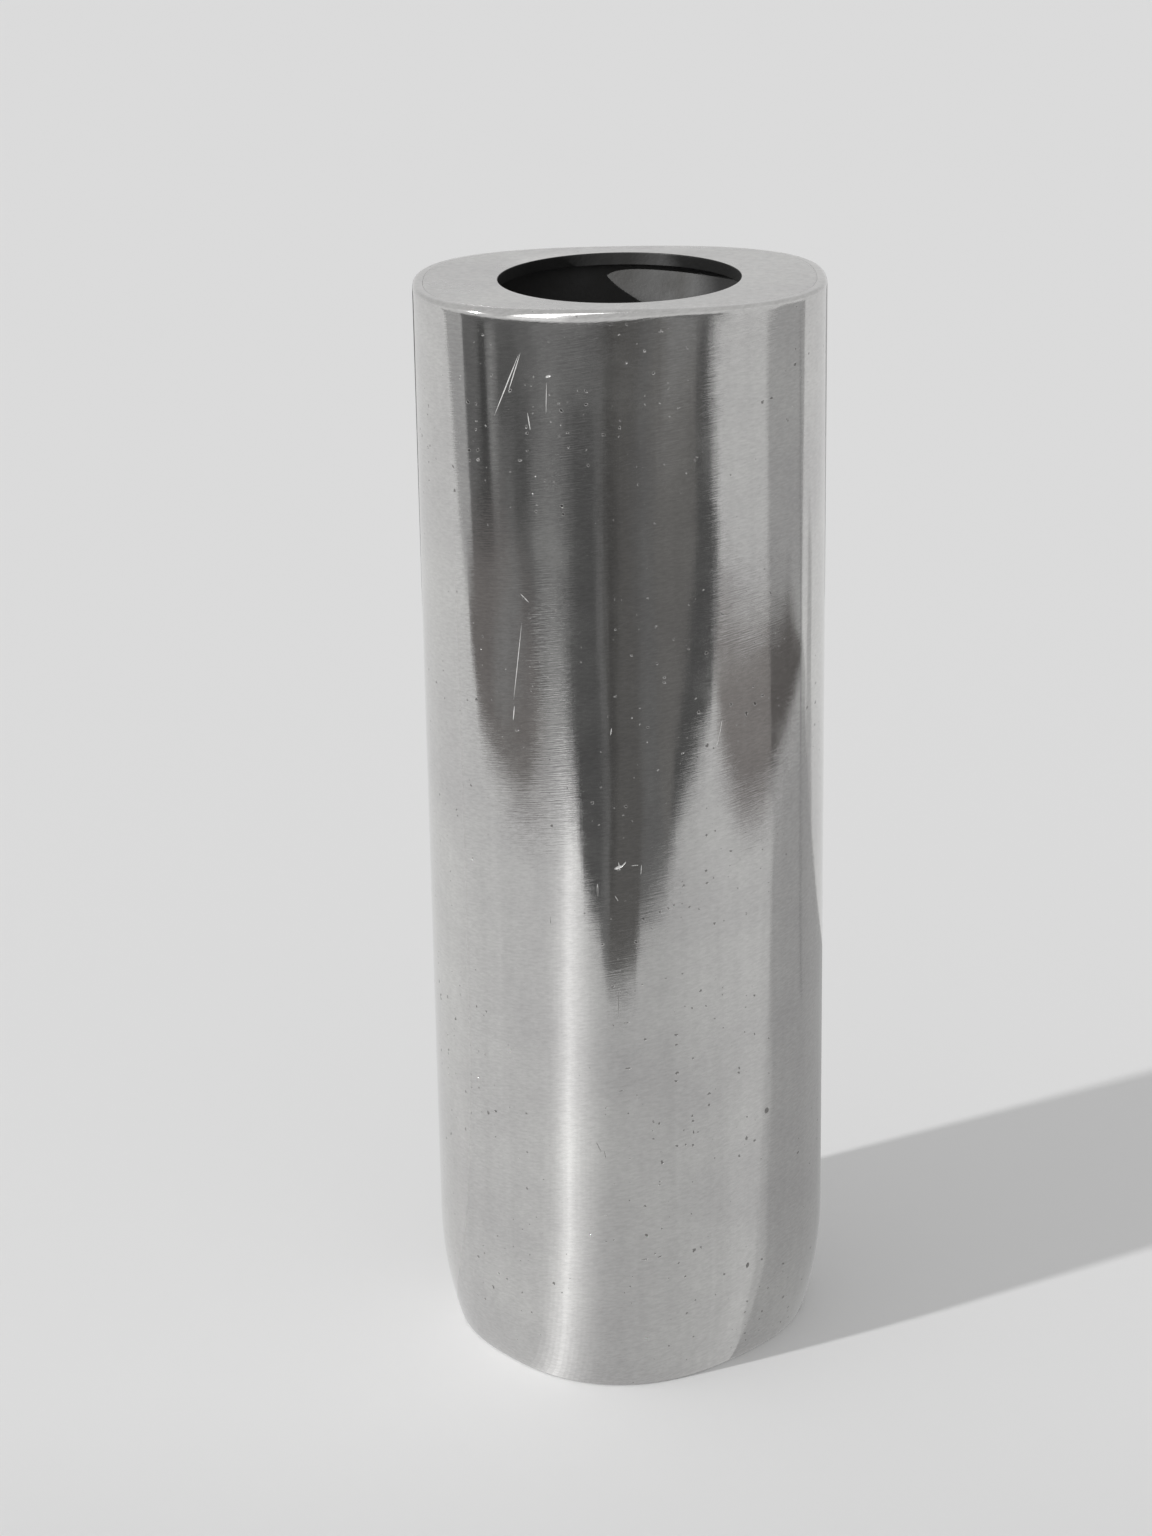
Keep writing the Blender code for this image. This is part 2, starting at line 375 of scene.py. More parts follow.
    peel_bump = tree.nodes.new("ShaderNodeBump")
    peel_bump.label = "unevenness relief"
    hair_map = tree.nodes.new("ShaderNodeMapping")
    hair_map.label = "scratches lean"
    hair = tree.nodes.new("ShaderNodeTexVoronoi")
    hair.label = "short straight scratches"
    hair_pick = tree.nodes.new("ShaderNodeSeparateColor")
    hair_pick.label = "one number for each scratch"
    hair_size = tree.nodes.new("ShaderNodeMapRange")
    hair_size.label = "few are deep"
    hair_line = tree.nodes.new("ShaderNodeMath")
    hair_line.label = "inside a short scratch"
    hair_line.operation = "SUBTRACT"
    hair_mask = tree.nodes.new("ShaderNodeMapRange")
    hair_mask.label = "scratch with a soft edge"
    hair_bump = tree.nodes.new("ShaderNodeBump")
    hair_bump.label = "scratch relief"
    hair_bump.invert = True
    pit_bump = tree.nodes.new("ShaderNodeBump")
    pit_bump.label = "pit relief"
    pit_bump.invert = True

    for node in (cloud, cloud_tone, run_map, run, run_tone, runs_over, pit_cells, pit_pick,
                 pit_warp, pit_bend, pit_patch, porous_map, porous, porous_share, patch_sum,
                 pit_share, pit_gather, pit_size, pit_depth, pit_mask, pits_over, grain_map,
                 grain, grain_tone, grain_over):
        node.parent = colour_frame
    for node in (blotch, sheen, sheen_cut):
        node.parent = sheen_frame
    for node in (climb, rough_map, rough_away, rough_gain, stroke_height, stroke_patch,
                 stroke_map, strokes, stroke_bump, facet_map, facet, facet_bump, peel, peel_bump,
                 hair_map, hair, hair_pick, hair_size, hair_line, hair_mask, hair_bump,
                 pit_bump):
        node.parent = relief_frame
    for row, column in enumerate((
            (cloud, cloud_tone, runs_over, grain_over, pits_over), (run_map, run, run_tone),
            (grain_map, grain, grain_tone),
            (pit_warp, pit_bend, pit_cells, pit_pick, pit_size, pit_gather, pit_depth, pit_mask),
            (pit_patch, patch_sum, pit_share), (blotch, sheen, sheen_cut),
            (climb, stroke_map, strokes, stroke_patch, stroke_bump),
            (facet_map, facet, facet_bump),
            (peel, peel_bump), (hair_map, hair, hair_pick, hair_size, hair_line, hair_mask),
            (hair_bump, cut_bump, pit_bump), (low_down, grimy, grimy_cut, dark_marks),
            (porous_map, porous, porous_share), (rough_map, rough_away, rough_gain, stroke_height),
            (*scratch_nodes, cut))):
        for step, node in enumerate(column):
            node.location = (220 * step - 1500, 900 - 300 * row)
    place.location = (-1900, 0)
    shader.location = (0, 300)
    output.location = (320, 300)
    for node, settings in (
            (shader, {"Metallic": 1.0}), (cloud, {"Scale": 38.0, "Detail": 5.0, "Roughness": 0.6}),
            (run_map, {"Scale": (420, 420, 9)}), (run, {"Scale": 1.0, "Detail": 3.0}),
            (run_tone, {"From Min": 0.3, "From Max": 0.7, "To Min": 0.965, "To Max": 1.015}),
            (runs_over, {"Factor": stains}), (pit_cells, {"Scale": 640.0}),
            (pit_warp, {"Scale": 1300.0}), (pit_bend, {1: (0.0011, 0.0011, 0.0008)}),
            (pit_patch, {"Scale": 48.0, "Detail": 2.0}),
            (porous_map, {"Location": (0.006, -0.036, 0.055), "Scale": (0.018, 0.030, 0.045)}),
            (porous_share, {"From Min": 0.3, "From Max": 1.2, "To Min": 0.14, "To Max": -0.03}),
            (pit_share, {"From Min": 0.40, "From Max": 0.58, "To Min": 0.35, "To Max": 1.45}),
            (pit_size, {"From Min": 1 - pits, "To Max": 0.17}), (pit_mask, {"From Max": 0.05}),
            (pits_over, {"B": (tone * 0.42, tone * 0.41, tone * 0.40, 1)}),
            (grain_map, {"Scale": (700, 700, 2400)}),
            (grain, {"Scale": 1.0, "Detail": 3.0, "Roughness": 0.7}),
            (grain_tone, {"From Min": 0.32, "From Max": 0.68, "To Min": 0.90, "To Max": 1.06}),
            (grain_over, {"Factor": 1.0}),
            (blotch, {"Scale": 75.0, "Detail": 8.0, "Roughness": 0.68}),
            (sheen, {"From Min": 0.33, "From Max": 0.70,
                     "To Min": low_rough, "To Max": high_rough}),
            (sheen_cut, {"B": 0.62}), (cut, {"From Min": 1.0, "From Max": 0.7, "Value": 2.0}),
            (grimy, {"From Min": 0.105, "From Max": 0.095}), (cut_bump, {"Distance": 0.00006}),
            (climb, {"Rotation": (0, math.radians(9), 0)}),
            (stroke_patch, {"From Min": 0.38, "From Max": 0.62, "To Min": 0.75, "To Max": 0.20}),
            (rough_map, {"Location": (-0.0140, -0.0330, 0.1600),
                         "Scale": (0.0050, 0.0200, 0.0430)}),
            (rough_gain, {"From Min": 0.4, "From Max": 1.2, "To Min": 3.6, "To Max": 1.0}),
            (stroke_map, {"Scale": stroke}),
            (strokes, {"Scale": 1.0, "Detail": 4.0, "Roughness": 0.65}),
            (stroke_bump, {"Distance": stroke_depth}), (facet_map, {"Scale": (230, 230, 5)}),
            (facet, {"Scale": 1.0, "Detail": 3.0, "Roughness": 0.6}),
            (facet_bump, {"Distance": facets}), (peel, {"Scale": 55.0, "Detail": 2.0}),
            (peel_bump, {"Strength": 0.35, "Distance": 0.00020}),
            (hair_map, {"Rotation": (0.1, 0.25, 0.2), "Scale": (330, 330, 34)}),
            (hair, {"Scale": 1.0}), (hair_size, {"From Min": 1 - pits * 0.2, "To Max": 0.05}),
            (hair_mask, {"From Max": 0.02}), (hair_bump, {"Strength": 0.8, "Distance": 0.00004}),
            (pit_bump, {"Strength": 0.9, "Distance": 0.00008})):
        for socket, value in settings.items():
            node.inputs[socket].default_value = value

    for node in (cloud, run_map, climb, pit_warp, pit_patch, porous_map, low_down, blotch,
                 rough_map, facet_map, peel, hair_map):
        tree.links.new(place.outputs["Object"], node.inputs["Vector"])
    for mapping, pattern in ((climb, grain_map), (climb, stroke_map), (run_map, run),
                             (grain_map, grain), (stroke_map, strokes), (facet_map, facet),
                             (hair_map, hair), (pit_bend, pit_cells)):
        tree.links.new(mapping.outputs["Vector"], pattern.inputs["Vector"])
    for zone, distance, share in ((porous_map, porous, porous_share),
                                  (rough_map, rough_away, rough_gain)):
        tree.links.new(zone.outputs["Vector"], distance.inputs[0])
        tree.links.new(distance.outputs["Value"], share.inputs["Value"])
    for noise, level in ((cloud, stroke_patch), (run, run_tone), (grain, grain_tone),
                         (blotch, sheen)):
        tree.links.new(noise.outputs["Fac"], level.inputs["Value"])
    tree.links.new(cloud.outputs["Fac"], cloud_tone.inputs["Fac"])
    tree.links.new(cloud_tone.outputs["Color"], runs_over.inputs["A"])
    tree.links.new(run_tone.outputs["Result"], runs_over.inputs["B"])
    tree.links.new(runs_over.outputs["Result"], grain_over.inputs["A"])
    tree.links.new(grain_tone.outputs["Result"], grain_over.inputs["B"])
    tree.links.new(grain_over.outputs["Result"], pits_over.inputs["A"])
    tree.links.new(dark_marks.outputs["Value"], pits_over.inputs["Factor"])
    tree.links.new(pits_over.outputs["Result"], shader.inputs["Base Color"])
    tree.links.new(pit_warp.outputs["Color"], pit_bend.inputs[0])
    tree.links.new(place.outputs["Object"], pit_bend.inputs[2])
    tree.links.new(pit_patch.outputs["Fac"], patch_sum.inputs[0])
    tree.links.new(porous_share.outputs["Result"], patch_sum.inputs[1])
    tree.links.new(patch_sum.outputs["Value"], pit_share.inputs["Value"])
    tree.links.new(pit_share.outputs["Result"], pit_gather.inputs[0])
    tree.links.new(pit_size.outputs["Result"], pit_gather.inputs[1])
    for cells, pick, size, reach, inside, mask in (
            (pit_cells, pit_pick, pit_size, pit_gather.outputs["Value"], pit_depth, pit_mask),
            (hair, hair_pick, hair_size, hair_size.outputs["Result"], hair_line, hair_mask)):
        tree.links.new(cells.outputs["Color"], pick.inputs["Color"])
        tree.links.new(pick.outputs["Red"], size.inputs["Value"])
        tree.links.new(reach, inside.inputs[0])
        tree.links.new(cells.outputs["Distance"], inside.inputs[1])
        tree.links.new(inside.outputs["Value"], mask.inputs["Value"])
    tree.links.new(low_down.outputs["Z"], grimy.inputs["Value"])
    tree.links.new(grimy.outputs["Result"], grimy_cut.inputs[0])
    tree.links.new(cut.outputs["Result"], grimy_cut.inputs[1])
    tree.links.new(pit_mask.outputs["Result"], dark_marks.inputs[0])
    tree.links.new(grimy_cut.outputs["Value"], dark_marks.inputs[1])
    tree.links.new(sheen.outputs["Result"], sheen_cut.inputs["A"])
    tree.links.new(cut.outputs["Result"], sheen_cut.inputs["Factor"])
    tree.links.new(sheen_cut.outputs["Result"], shader.inputs["Roughness"])
    tree.links.new(stroke_patch.outputs["Result"], stroke_bump.inputs["Strength"])
    tree.links.new(rough_gain.outputs["Result"], stroke_height.inputs[0])
    tree.links.new(strokes.outputs["Fac"], stroke_height.inputs[1])
    tree.links.new(stroke_height.outputs["Value"], stroke_bump.inputs["Height"])
    tree.links.new(peel.outputs["Fac"], peel_bump.inputs["Height"])
    tree.links.new(facet.outputs["Fac"], facet_bump.inputs["Height"])
    for mask, relief in ((hair_mask, hair_bump), (cut, cut_bump), (pit_mask, pit_bump)):
        tree.links.new(mask.outputs["Result"], relief.inputs["Height"])
    for relief, over in ((peel_bump, facet_bump), (facet_bump, stroke_bump),
                         (stroke_bump, hair_bump), (hair_bump, cut_bump),
                         (cut_bump, pit_bump), (pit_bump, shader)):
        tree.links.new(relief.outputs["Normal"], over.inputs["Normal"])
    tree.links.new(shader.outputs["BSDF"], output.inputs["Surface"])
    return material


belt_round = (190, 190, 3900)
wall_scratches = [
    ((-0.0215, -0.0278, 0.2060), 0.0130, 22, 0.00020),
    ((-0.0200, -0.0283, 0.2085), 0.0080, 18, 0.00018),
    ((-0.0206, -0.0293, 0.1530), 0.0160, 7, 0.00014),
    ((-0.0190, -0.0298, 0.1655), 0.0022, -45, 0.00020),
    ((-0.0216, -0.0290, 0.1425), 0.0030, 6, 0.00018),
    ((-0.0175, -0.0293, 0.1995), 0.0034, -8, 0.00020),
    ((-0.0138, -0.0299, 0.2080), 0.0010, 70, 0.00045),
    ((-0.0142, -0.0299, 0.2040), 0.0060, 2, 0.00014),
    ((-0.0022, -0.0348, 0.1128), 0.0016, 66, 0.00050),
    ((-0.0020, -0.0348, 0.1130), 0.0017, -10, 0.00024),
    ((-0.0012, -0.0348, 0.1133), 0.0016, 40, 0.00022),
    ((0.0010, -0.0347, 0.1131), 0.0014, 85, 0.00013),
    ((0.0022, -0.0346, 0.1122), 0.0020, 5, 0.00012),
    ((-0.0026, -0.0348, 0.1065), 0.0012, -30, 0.00014),
    ((-0.0032, -0.0346, 0.1400), 0.0014, 10, 0.00020),
    ((-0.0025, -0.0360, 0.0850), 0.0065, 2, 0.00014),
    ((-0.0010, -0.0366, 0.0808), 0.0013, 82, 0.00022),
    ((-0.0008, -0.0366, 0.0712), 0.0013, 86, 0.00040),
    ((-0.0022, -0.0366, 0.0665), 0.0009, 78, 0.00022),
    ((0.0052, -0.0362, 0.0590), 0.0007, 12, 0.00045),
    ((-0.0068, -0.0352, 0.0545), 0.0026, -24, 0.00016),
    ((-0.0056, -0.0355, 0.0530), 0.0020, -12, 0.00014),
    ((0.0120, -0.0340, 0.0560), 0.0009, -8, 0.00030),
    ((0.0020, -0.0366, 0.0300), 0.0016, 86, 0.00022),
    ((0.0050, -0.0364, 0.0302), 0.0010, 80, 0.00030),
    ((0.0230, -0.0285, 0.0230), 0.0013, 10, 0.00070),
    ((0.0270, -0.0250, 0.0560), 0.0014, 0, 0.00100),
    ((0.0175, -0.0300, 0.1380), 0.0060, 12, 0.00012),
]
sleeve.data.materials.append(satin_aluminium(
    "sleeve satin", tone=0.725, low_rough=0.04, high_rough=0.12, stroke=belt_round,
    stroke_depth=0.000014, pits=0.60, stains=1.0, facets=0.000020, scratches=wall_scratches))


def as_cast_aluminium(name, tone):
    """Aluminium as it left the mould: matt, sandy, with soft lumps, and darkened as painted shade.
    """
    material, tree = bare_material(name)
    output = tree.nodes.new("ShaderNodeOutputMaterial")
    output.label = "as-cast surface"
    output.location = (320, 200)
    shader = tree.nodes.new("ShaderNodeBsdfPrincipled")
    shader.label = "matt cast aluminium"
    shader.location = (0, 200)
    shader.inputs["Metallic"].default_value = 0.1
    shader.inputs["Specular IOR Level"].default_value = 0.15
    place = tree.nodes.new("ShaderNodeTexCoord")
    place.label = "place on the casting"
    place.location = (-1100, 0)
    tone_frame = tree.nodes.new("NodeFrame")
    tone_frame.label = "mottled skin"
    mottle = tree.nodes.new("ShaderNodeTexNoise")
    mottle.label = "mottling"
    mottle.location = (-850, 300)
    mottle.inputs["Scale"].default_value = 90.0
    mottle.inputs["Detail"].default_value = 6.0
    mottle_tone = tree.nodes.new("ShaderNodeValToRGB")
    mottle_tone.label = "mottled tone"
    mottle_tone.location = (-600, 300)
    mottle_tone.color_ramp.elements[0].position = 0.32
    mottle_tone.color_ramp.elements[0].color = (tone * 0.66, tone * 0.65, tone * 0.63, 1)
    mottle_tone.color_ramp.elements[1].position = 0.68
    mottle_tone.color_ramp.elements[1].color = (tone, tone, tone, 1)
    dull = tree.nodes.new("ShaderNodeMapRange")
    dull.label = "roughness"
    dull.location = (-600, 40)
    dull.inputs["To Min"].default_value = 0.36
    dull.inputs["To Max"].default_value = 0.50
    relief_frame = tree.nodes.new("NodeFrame")
    relief_frame.label = "sand grain and lumps"
    grain = tree.nodes.new("ShaderNodeTexNoise")
    grain.label = "sand grain"
    grain.location = (-850, -260)
    grain.inputs["Scale"].default_value = 1500.0
    grain.inputs["Detail"].default_value = 2.0
    grain_bump = tree.nodes.new("ShaderNodeBump")
    grain_bump.label = "grain relief"
    grain_bump.location = (-350, -260)
    grain_bump.inputs["Strength"].default_value = 0.6
    grain_bump.inputs["Distance"].default_value = 0.00008
    lumps = tree.nodes.new("ShaderNodeTexNoise")
    lumps.label = "soft lumps"
    lumps.location = (-850, -520)
    lumps.inputs["Scale"].default_value = 160.0
    lump_bump = tree.nodes.new("ShaderNodeBump")
    lump_bump.label = "lump relief"
    lump_bump.location = (-600, -520)
    lump_bump.inputs["Strength"].default_value = 0.5
    lump_bump.inputs["Distance"].default_value = 0.0003
    for node in (mottle, mottle_tone, dull):
        node.parent = tone_frame
    for node in (grain, grain_bump, lumps, lump_bump):
        node.parent = relief_frame
    for node in (mottle, grain, lumps):
        tree.links.new(place.outputs["Object"], node.inputs["Vector"])
    tree.links.new(mottle.outputs["Fac"], mottle_tone.inputs["Fac"])
    tree.links.new(mottle.outputs["Fac"], dull.inputs["Value"])
    tree.links.new(mottle_tone.outputs["Color"], shader.inputs["Base Color"])
    tree.links.new(dull.outputs["Result"], shader.inputs["Roughness"])
    tree.links.new(lumps.outputs["Fac"], lump_bump.inputs["Height"])
    tree.links.new(grain.outputs["Fac"], grain_bump.inputs["Height"])
    tree.links.new(lump_bump.outputs["Normal"], grain_bump.inputs["Normal"])
    tree.links.new(grain_bump.outputs["Normal"], shader.inputs["Normal"])
    tree.links.new(shader.outputs["BSDF"], output.inputs["Surface"])
    return material


# The bore's matt as-cast grey is darkened to near black: painted shade for the inside of the
# mould.
sleeve.data.materials.append(as_cast_aluminium("bore as cast with painted shade", tone=0.08))
for face in sleeve.data.polygons:
    middle = Vector((face.center.x, face.center.y, 0))
    if face.center.z < seat_z + PLATE_GAP and face.normal.dot(middle) < 0:
        face.material_index = 1
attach(sleeve, "sleeve")
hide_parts("body_sleeve")

# ---------------------------------------------------------------------------------------------
# Rim plate: a flat aluminium plate let into the top of the sleeve and dressed flush with it,
# with the round pouring opening bored through it and its lip broken with a cloth.
# ---------------------------------------------------------------------------------------------
POUR_RADIUS = 0.02325
LIP_RADIUS = 0.0002
SEAM = 0.00002
plate_low = HEIGHT - PLATE_THICKNESS
plate_edge = outside(PLATE_SEAT_INSET + SEAM)


def across_plate(share):
    """Radius at a share of the way from the plate's edge to its opening."""
    return lambda angle, z: plate_edge(angle, z) * (1 - share) + (POUR_RADIUS + LIP_RADIUS) * share


plate_rings = [(plate_low, plate_edge), (HEIGHT, plate_edge)]
plate_rings += [(HEIGHT, across_plate(share)) for share in (0.35, 0.7, 0.93)]
for step in range(QUARTER_STEPS + 1):
    turn = math.pi / 2 * step / QUARTER_STEPS
    lip_z = HEIGHT - LIP_RADIUS * (1 - math.cos(turn))
    plate_rings.append((lip_z, circle(POUR_RADIUS + LIP_RADIUS * (1 - math.sin(turn)))))
plate_rings.append((plate_low, circle(POUR_RADIUS)))
plate = loft("pouring_plate", plate_rings, edge_width=0.00002, subdivisions=2)
plate.data.materials.append(satin_aluminium(
    "plate satin", tone=0.765, low_rough=0.26, high_rough=0.36, stroke=(60, 900, 60),
    stroke_depth=0.000006, pits=0.02, stains=0.5, facets=0.000002, scratches=[]))
# The opening's lip is near black: painted shade over the dark bore below it.
plate.data.materials.append(as_cast_aluminium("lip with painted shade", tone=0.02))
for face in plate.data.polygons:
    if face.center.xy.length < POUR_RADIUS + LIP_RADIUS / 2:
        face.material_index = 1
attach(plate, "sleeve")
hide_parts("rim_plate")

# ---------------------------------------------------------------------------------------------
# Base plug: a turned and filed aluminium block that closes the foot and carries the sleeve. It
# has a groove for its seal, a hole for the wick bush, and a recess that hides the wick screw.
# ---------------------------------------------------------------------------------------------
PLUG_CLEARANCE = 0.0005
PLUG_CHAMFER = 0.0010
GROOVE_DEPTH = 0.0023
GROOVE_HALF_HEIGHT = 0.0013
SEAL_MIDDLE = sum(corner[2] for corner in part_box("base_seal")) / 2
RECESS_RADIUS = 0.0105
RECESS_HEIGHT = 0.0095
BUSH_HOLE_RADIUS = 0.0053
EASED = 0.0004                     # filed off the plug's lower edge
TOP_SPLIT = 0.0180                 # rings that divide the plug's flat faces
FOOT_SPLIT = 0.0200

plug_side = bore(PLUG_CLEARANCE)
plug_groove = bore(PLUG_CLEARANCE + GROOVE_DEPTH)
groove_low = SEAL_MIDDLE - GROOVE_HALF_HEIGHT
groove_high = SEAL_MIDDLE + GROOVE_HALF_HEIGHT
plug_rings = [
    (0.0, bore(PLUG_CLEARANCE + EASED)), (EASED, plug_side), (groove_low / 2, plug_side),
    (groove_low, plug_side), (groove_low, plug_groove), (groove_high, plug_groove),
    (groove_high, plug_side), (PLUG_HEIGHT - PLUG_CHAMFER, plug_side),
    (PLUG_HEIGHT, bore(PLUG_CLEARANCE + PLUG_CHAMFER)), (PLUG_HEIGHT, circle(TOP_SPLIT)),
    (PLUG_HEIGHT, circle(BUSH_HOLE_RADIUS)), (RECESS_HEIGHT, circle(BUSH_HOLE_RADIUS)),
    (RECESS_HEIGHT, circle(RECESS_RADIUS)), (0.0, circle(RECESS_RADIUS)),
    (0.0, circle(FOOT_SPLIT))]
plug = loft("filed_base_plug", plug_rings, edge_width=0.00012, subdivisions=1)
plug.data.materials.append(satin_aluminium(
    "plug filed", tone=0.62, low_rough=0.28, high_rough=0.46, stroke=(90, 1400, 900),
    stroke_depth=0.00003, pits=0.03, stains=0.6, facets=0.000002, scratches=[]))
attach(plug, "base")
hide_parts("base_plug")

# ---------------------------------------------------------------------------------------------
# Base seal: a moulded silicone cord stretched into the plug's groove. It keeps the wax in and
# grips the sleeve's bore. The wick washer further down is of the same red silicone.
# ---------------------------------------------------------------------------------------------
SEAL_RADIUS = 0.0010
SEAL_STEPS = 10
FIT_GAP = 0.0003
seal_rings = []
for step in range(SEAL_STEPS):
    turn = math.tau * step / SEAL_STEPS
    inset = SEAL_RADIUS * (1 - math.cos(turn)) + FIT_GAP
    seal_rings.append((SEAL_MIDDLE + SEAL_RADIUS * math.sin(turn), bore(inset)))
seal = loft("silicone_seal", seal_rings, edge_width=0.0, subdivisions=1, segments=96)


def moulded_silicone(name):
    """Red silicone with a dusty skin, a faint moulding grain and rubbed paler spots."""
    material, tree = bare_material(name)
    output = tree.nodes.new("ShaderNodeOutputMaterial")
    output.label = "silicone surface"
    output.location = (320, 200)
    shader = tree.nodes.new("ShaderNodeBsdfPrincipled")
    shader.label = "red silicone"
    shader.location = (0, 200)
    shader.inputs["IOR"].default_value = 1.41
    shader.inputs["Subsurface Weight"].default_value = 0.08
    shader.inputs["Subsurface Scale"].default_value = 0.001
    place = tree.nodes.new("ShaderNodeTexCoord")
    place.label = "place on the rubber"
    place.location = (-900, 0)
    dust_frame = tree.nodes.new("NodeFrame")
    dust_frame.label = "dust and rubbing"
    dust = tree.nodes.new("ShaderNodeTexNoise")
    dust.label = "dusty patches"
    dust.location = (-650, 250)
    dust.inputs["Scale"].default_value = 420.0
    dust.inputs["Detail"].default_value = 6.0
    dust_tone = tree.nodes.new("ShaderNodeValToRGB")
    dust_tone.label = "clean to dusty red"
    dust_tone.location = (-400, 250)
    dust_tone.color_ramp.elements[0].position = 0.38
    dust_tone.color_ramp.elements[0].color = (0.37, 0.058, 0.040, 1)
    dust_tone.color_ramp.elements[1].position = 0.74
    dust_tone.color_ramp.elements[1].color = (0.50, 0.135, 0.100, 1)
    dull = tree.nodes.new("ShaderNodeMapRange")
    dull.label = "roughness"
    dull.location = (-400, 0)
    dull.inputs["To Min"].default_value = 0.42
    dull.inputs["To Max"].default_value = 0.74
    grain = tree.nodes.new("ShaderNodeTexNoise")
    grain.label = "moulding grain"
    grain.location = (-650, -250)
    grain.inputs["Scale"].default_value = 3800.0
    grain_bump = tree.nodes.new("ShaderNodeBump")
    grain_bump.label = "grain relief"
    grain_bump.location = (-400, -250)
    grain_bump.inputs["Strength"].default_value = 0.3
    grain_bump.inputs["Distance"].default_value = 0.00002
    for node in (dust, dust_tone, dull):
        node.parent = dust_frame
    tree.links.new(place.outputs["Object"], dust.inputs["Vector"])
    tree.links.new(place.outputs["Object"], grain.inputs["Vector"])
    tree.links.new(dust.outputs["Fac"], dust_tone.inputs["Fac"])
    tree.links.new(dust.outputs["Fac"], dull.inputs["Value"])
    tree.links.new(dust_tone.outputs["Color"], shader.inputs["Base Color"])
    tree.links.new(dull.outputs["Result"], shader.inputs["Roughness"])
    tree.links.new(grain.outputs["Fac"], grain_bump.inputs["Height"])
    tree.links.new(grain_bump.outputs["Normal"], shader.inputs["Normal"])
    tree.links.new(shader.outputs["BSDF"], output.inputs["Surface"])
    return material


seal.data.materials.append(moulded_silicone("seal silicone"))
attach(seal, "base")
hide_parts("base_seal")

# ---------------------------------------------------------------------------------------------
# Wick bush: a turned brass bush pressed into the plug from below, up to its flange. Its hole
# is threaded for the wick screw, and the wick comes up through it.
# ---------------------------------------------------------------------------------------------
bush_low, bush_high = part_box("wick_bush")
FLANGE_RADIUS = bush_high[0]
BUSH_RADIUS = 0.0050
FLANGE_TOP = RECESS_HEIGHT - FIT_GAP
THREAD_PITCH = 0.0008
THREAD_DEPTH = 0.00042
NUT_THREAD_RADIUS = 0.00285
NUT_THREAD_DEPTH = 0.00015
BRASS_EDGE = 0.00025
STEPS_PER_PITCH = 6
TURNED_SEGMENTS = 48


def thread(crest, depth):
    """Radius of a right-hand thread between its crest and its root, in the form a ring takes."""
    def radius(angle, z):
        phase = (z / THREAD_PITCH - angle / math.tau) % 1.0
        return crest - depth * abs(2 * phase - 1)
    return radius


nut_run = bush_high[2] - bush_low[2] - 2 * BRASS_EDGE
nut_steps = round(nut_run / THREAD_PITCH * STEPS_PER_PITCH)
bush_rings = [
    (bush_low[2], circle(NUT_THREAD_RADIUS + BRASS_EDGE)),
    (bush_low[2], circle(FLANGE_RADIUS - BRASS_EDGE)),
    (bush_low[2] + BRASS_EDGE, circle(FLANGE_RADIUS)),
    (FLANGE_TOP - BRASS_EDGE, circle(FLANGE_RADIUS)),
    (FLANGE_TOP, circle(FLANGE_RADIUS - BRASS_EDGE)), (FLANGE_TOP, circle(BUSH_RADIUS)),
    (bush_high[2] - BRASS_EDGE, circle(BUSH_RADIUS)),
    (bush_high[2], circle(BUSH_RADIUS - BRASS_EDGE)),
    (bush_high[2], circle(NUT_THREAD_RADIUS + BRASS_EDGE))]
bush_rings += [(bush_high[2] - BRASS_EDGE - nut_run * step / nut_steps,
                thread(NUT_THREAD_RADIUS, NUT_THREAD_DEPTH)) for step in range(nut_steps + 1)]
bush = loft("turned_wick_bush", bush_rings, edge_width=0.0, subdivisions=0,
            segments=TURNED_SEGMENTS)
bush.data.set_sharp_from_angle(angle=math.radians(38))


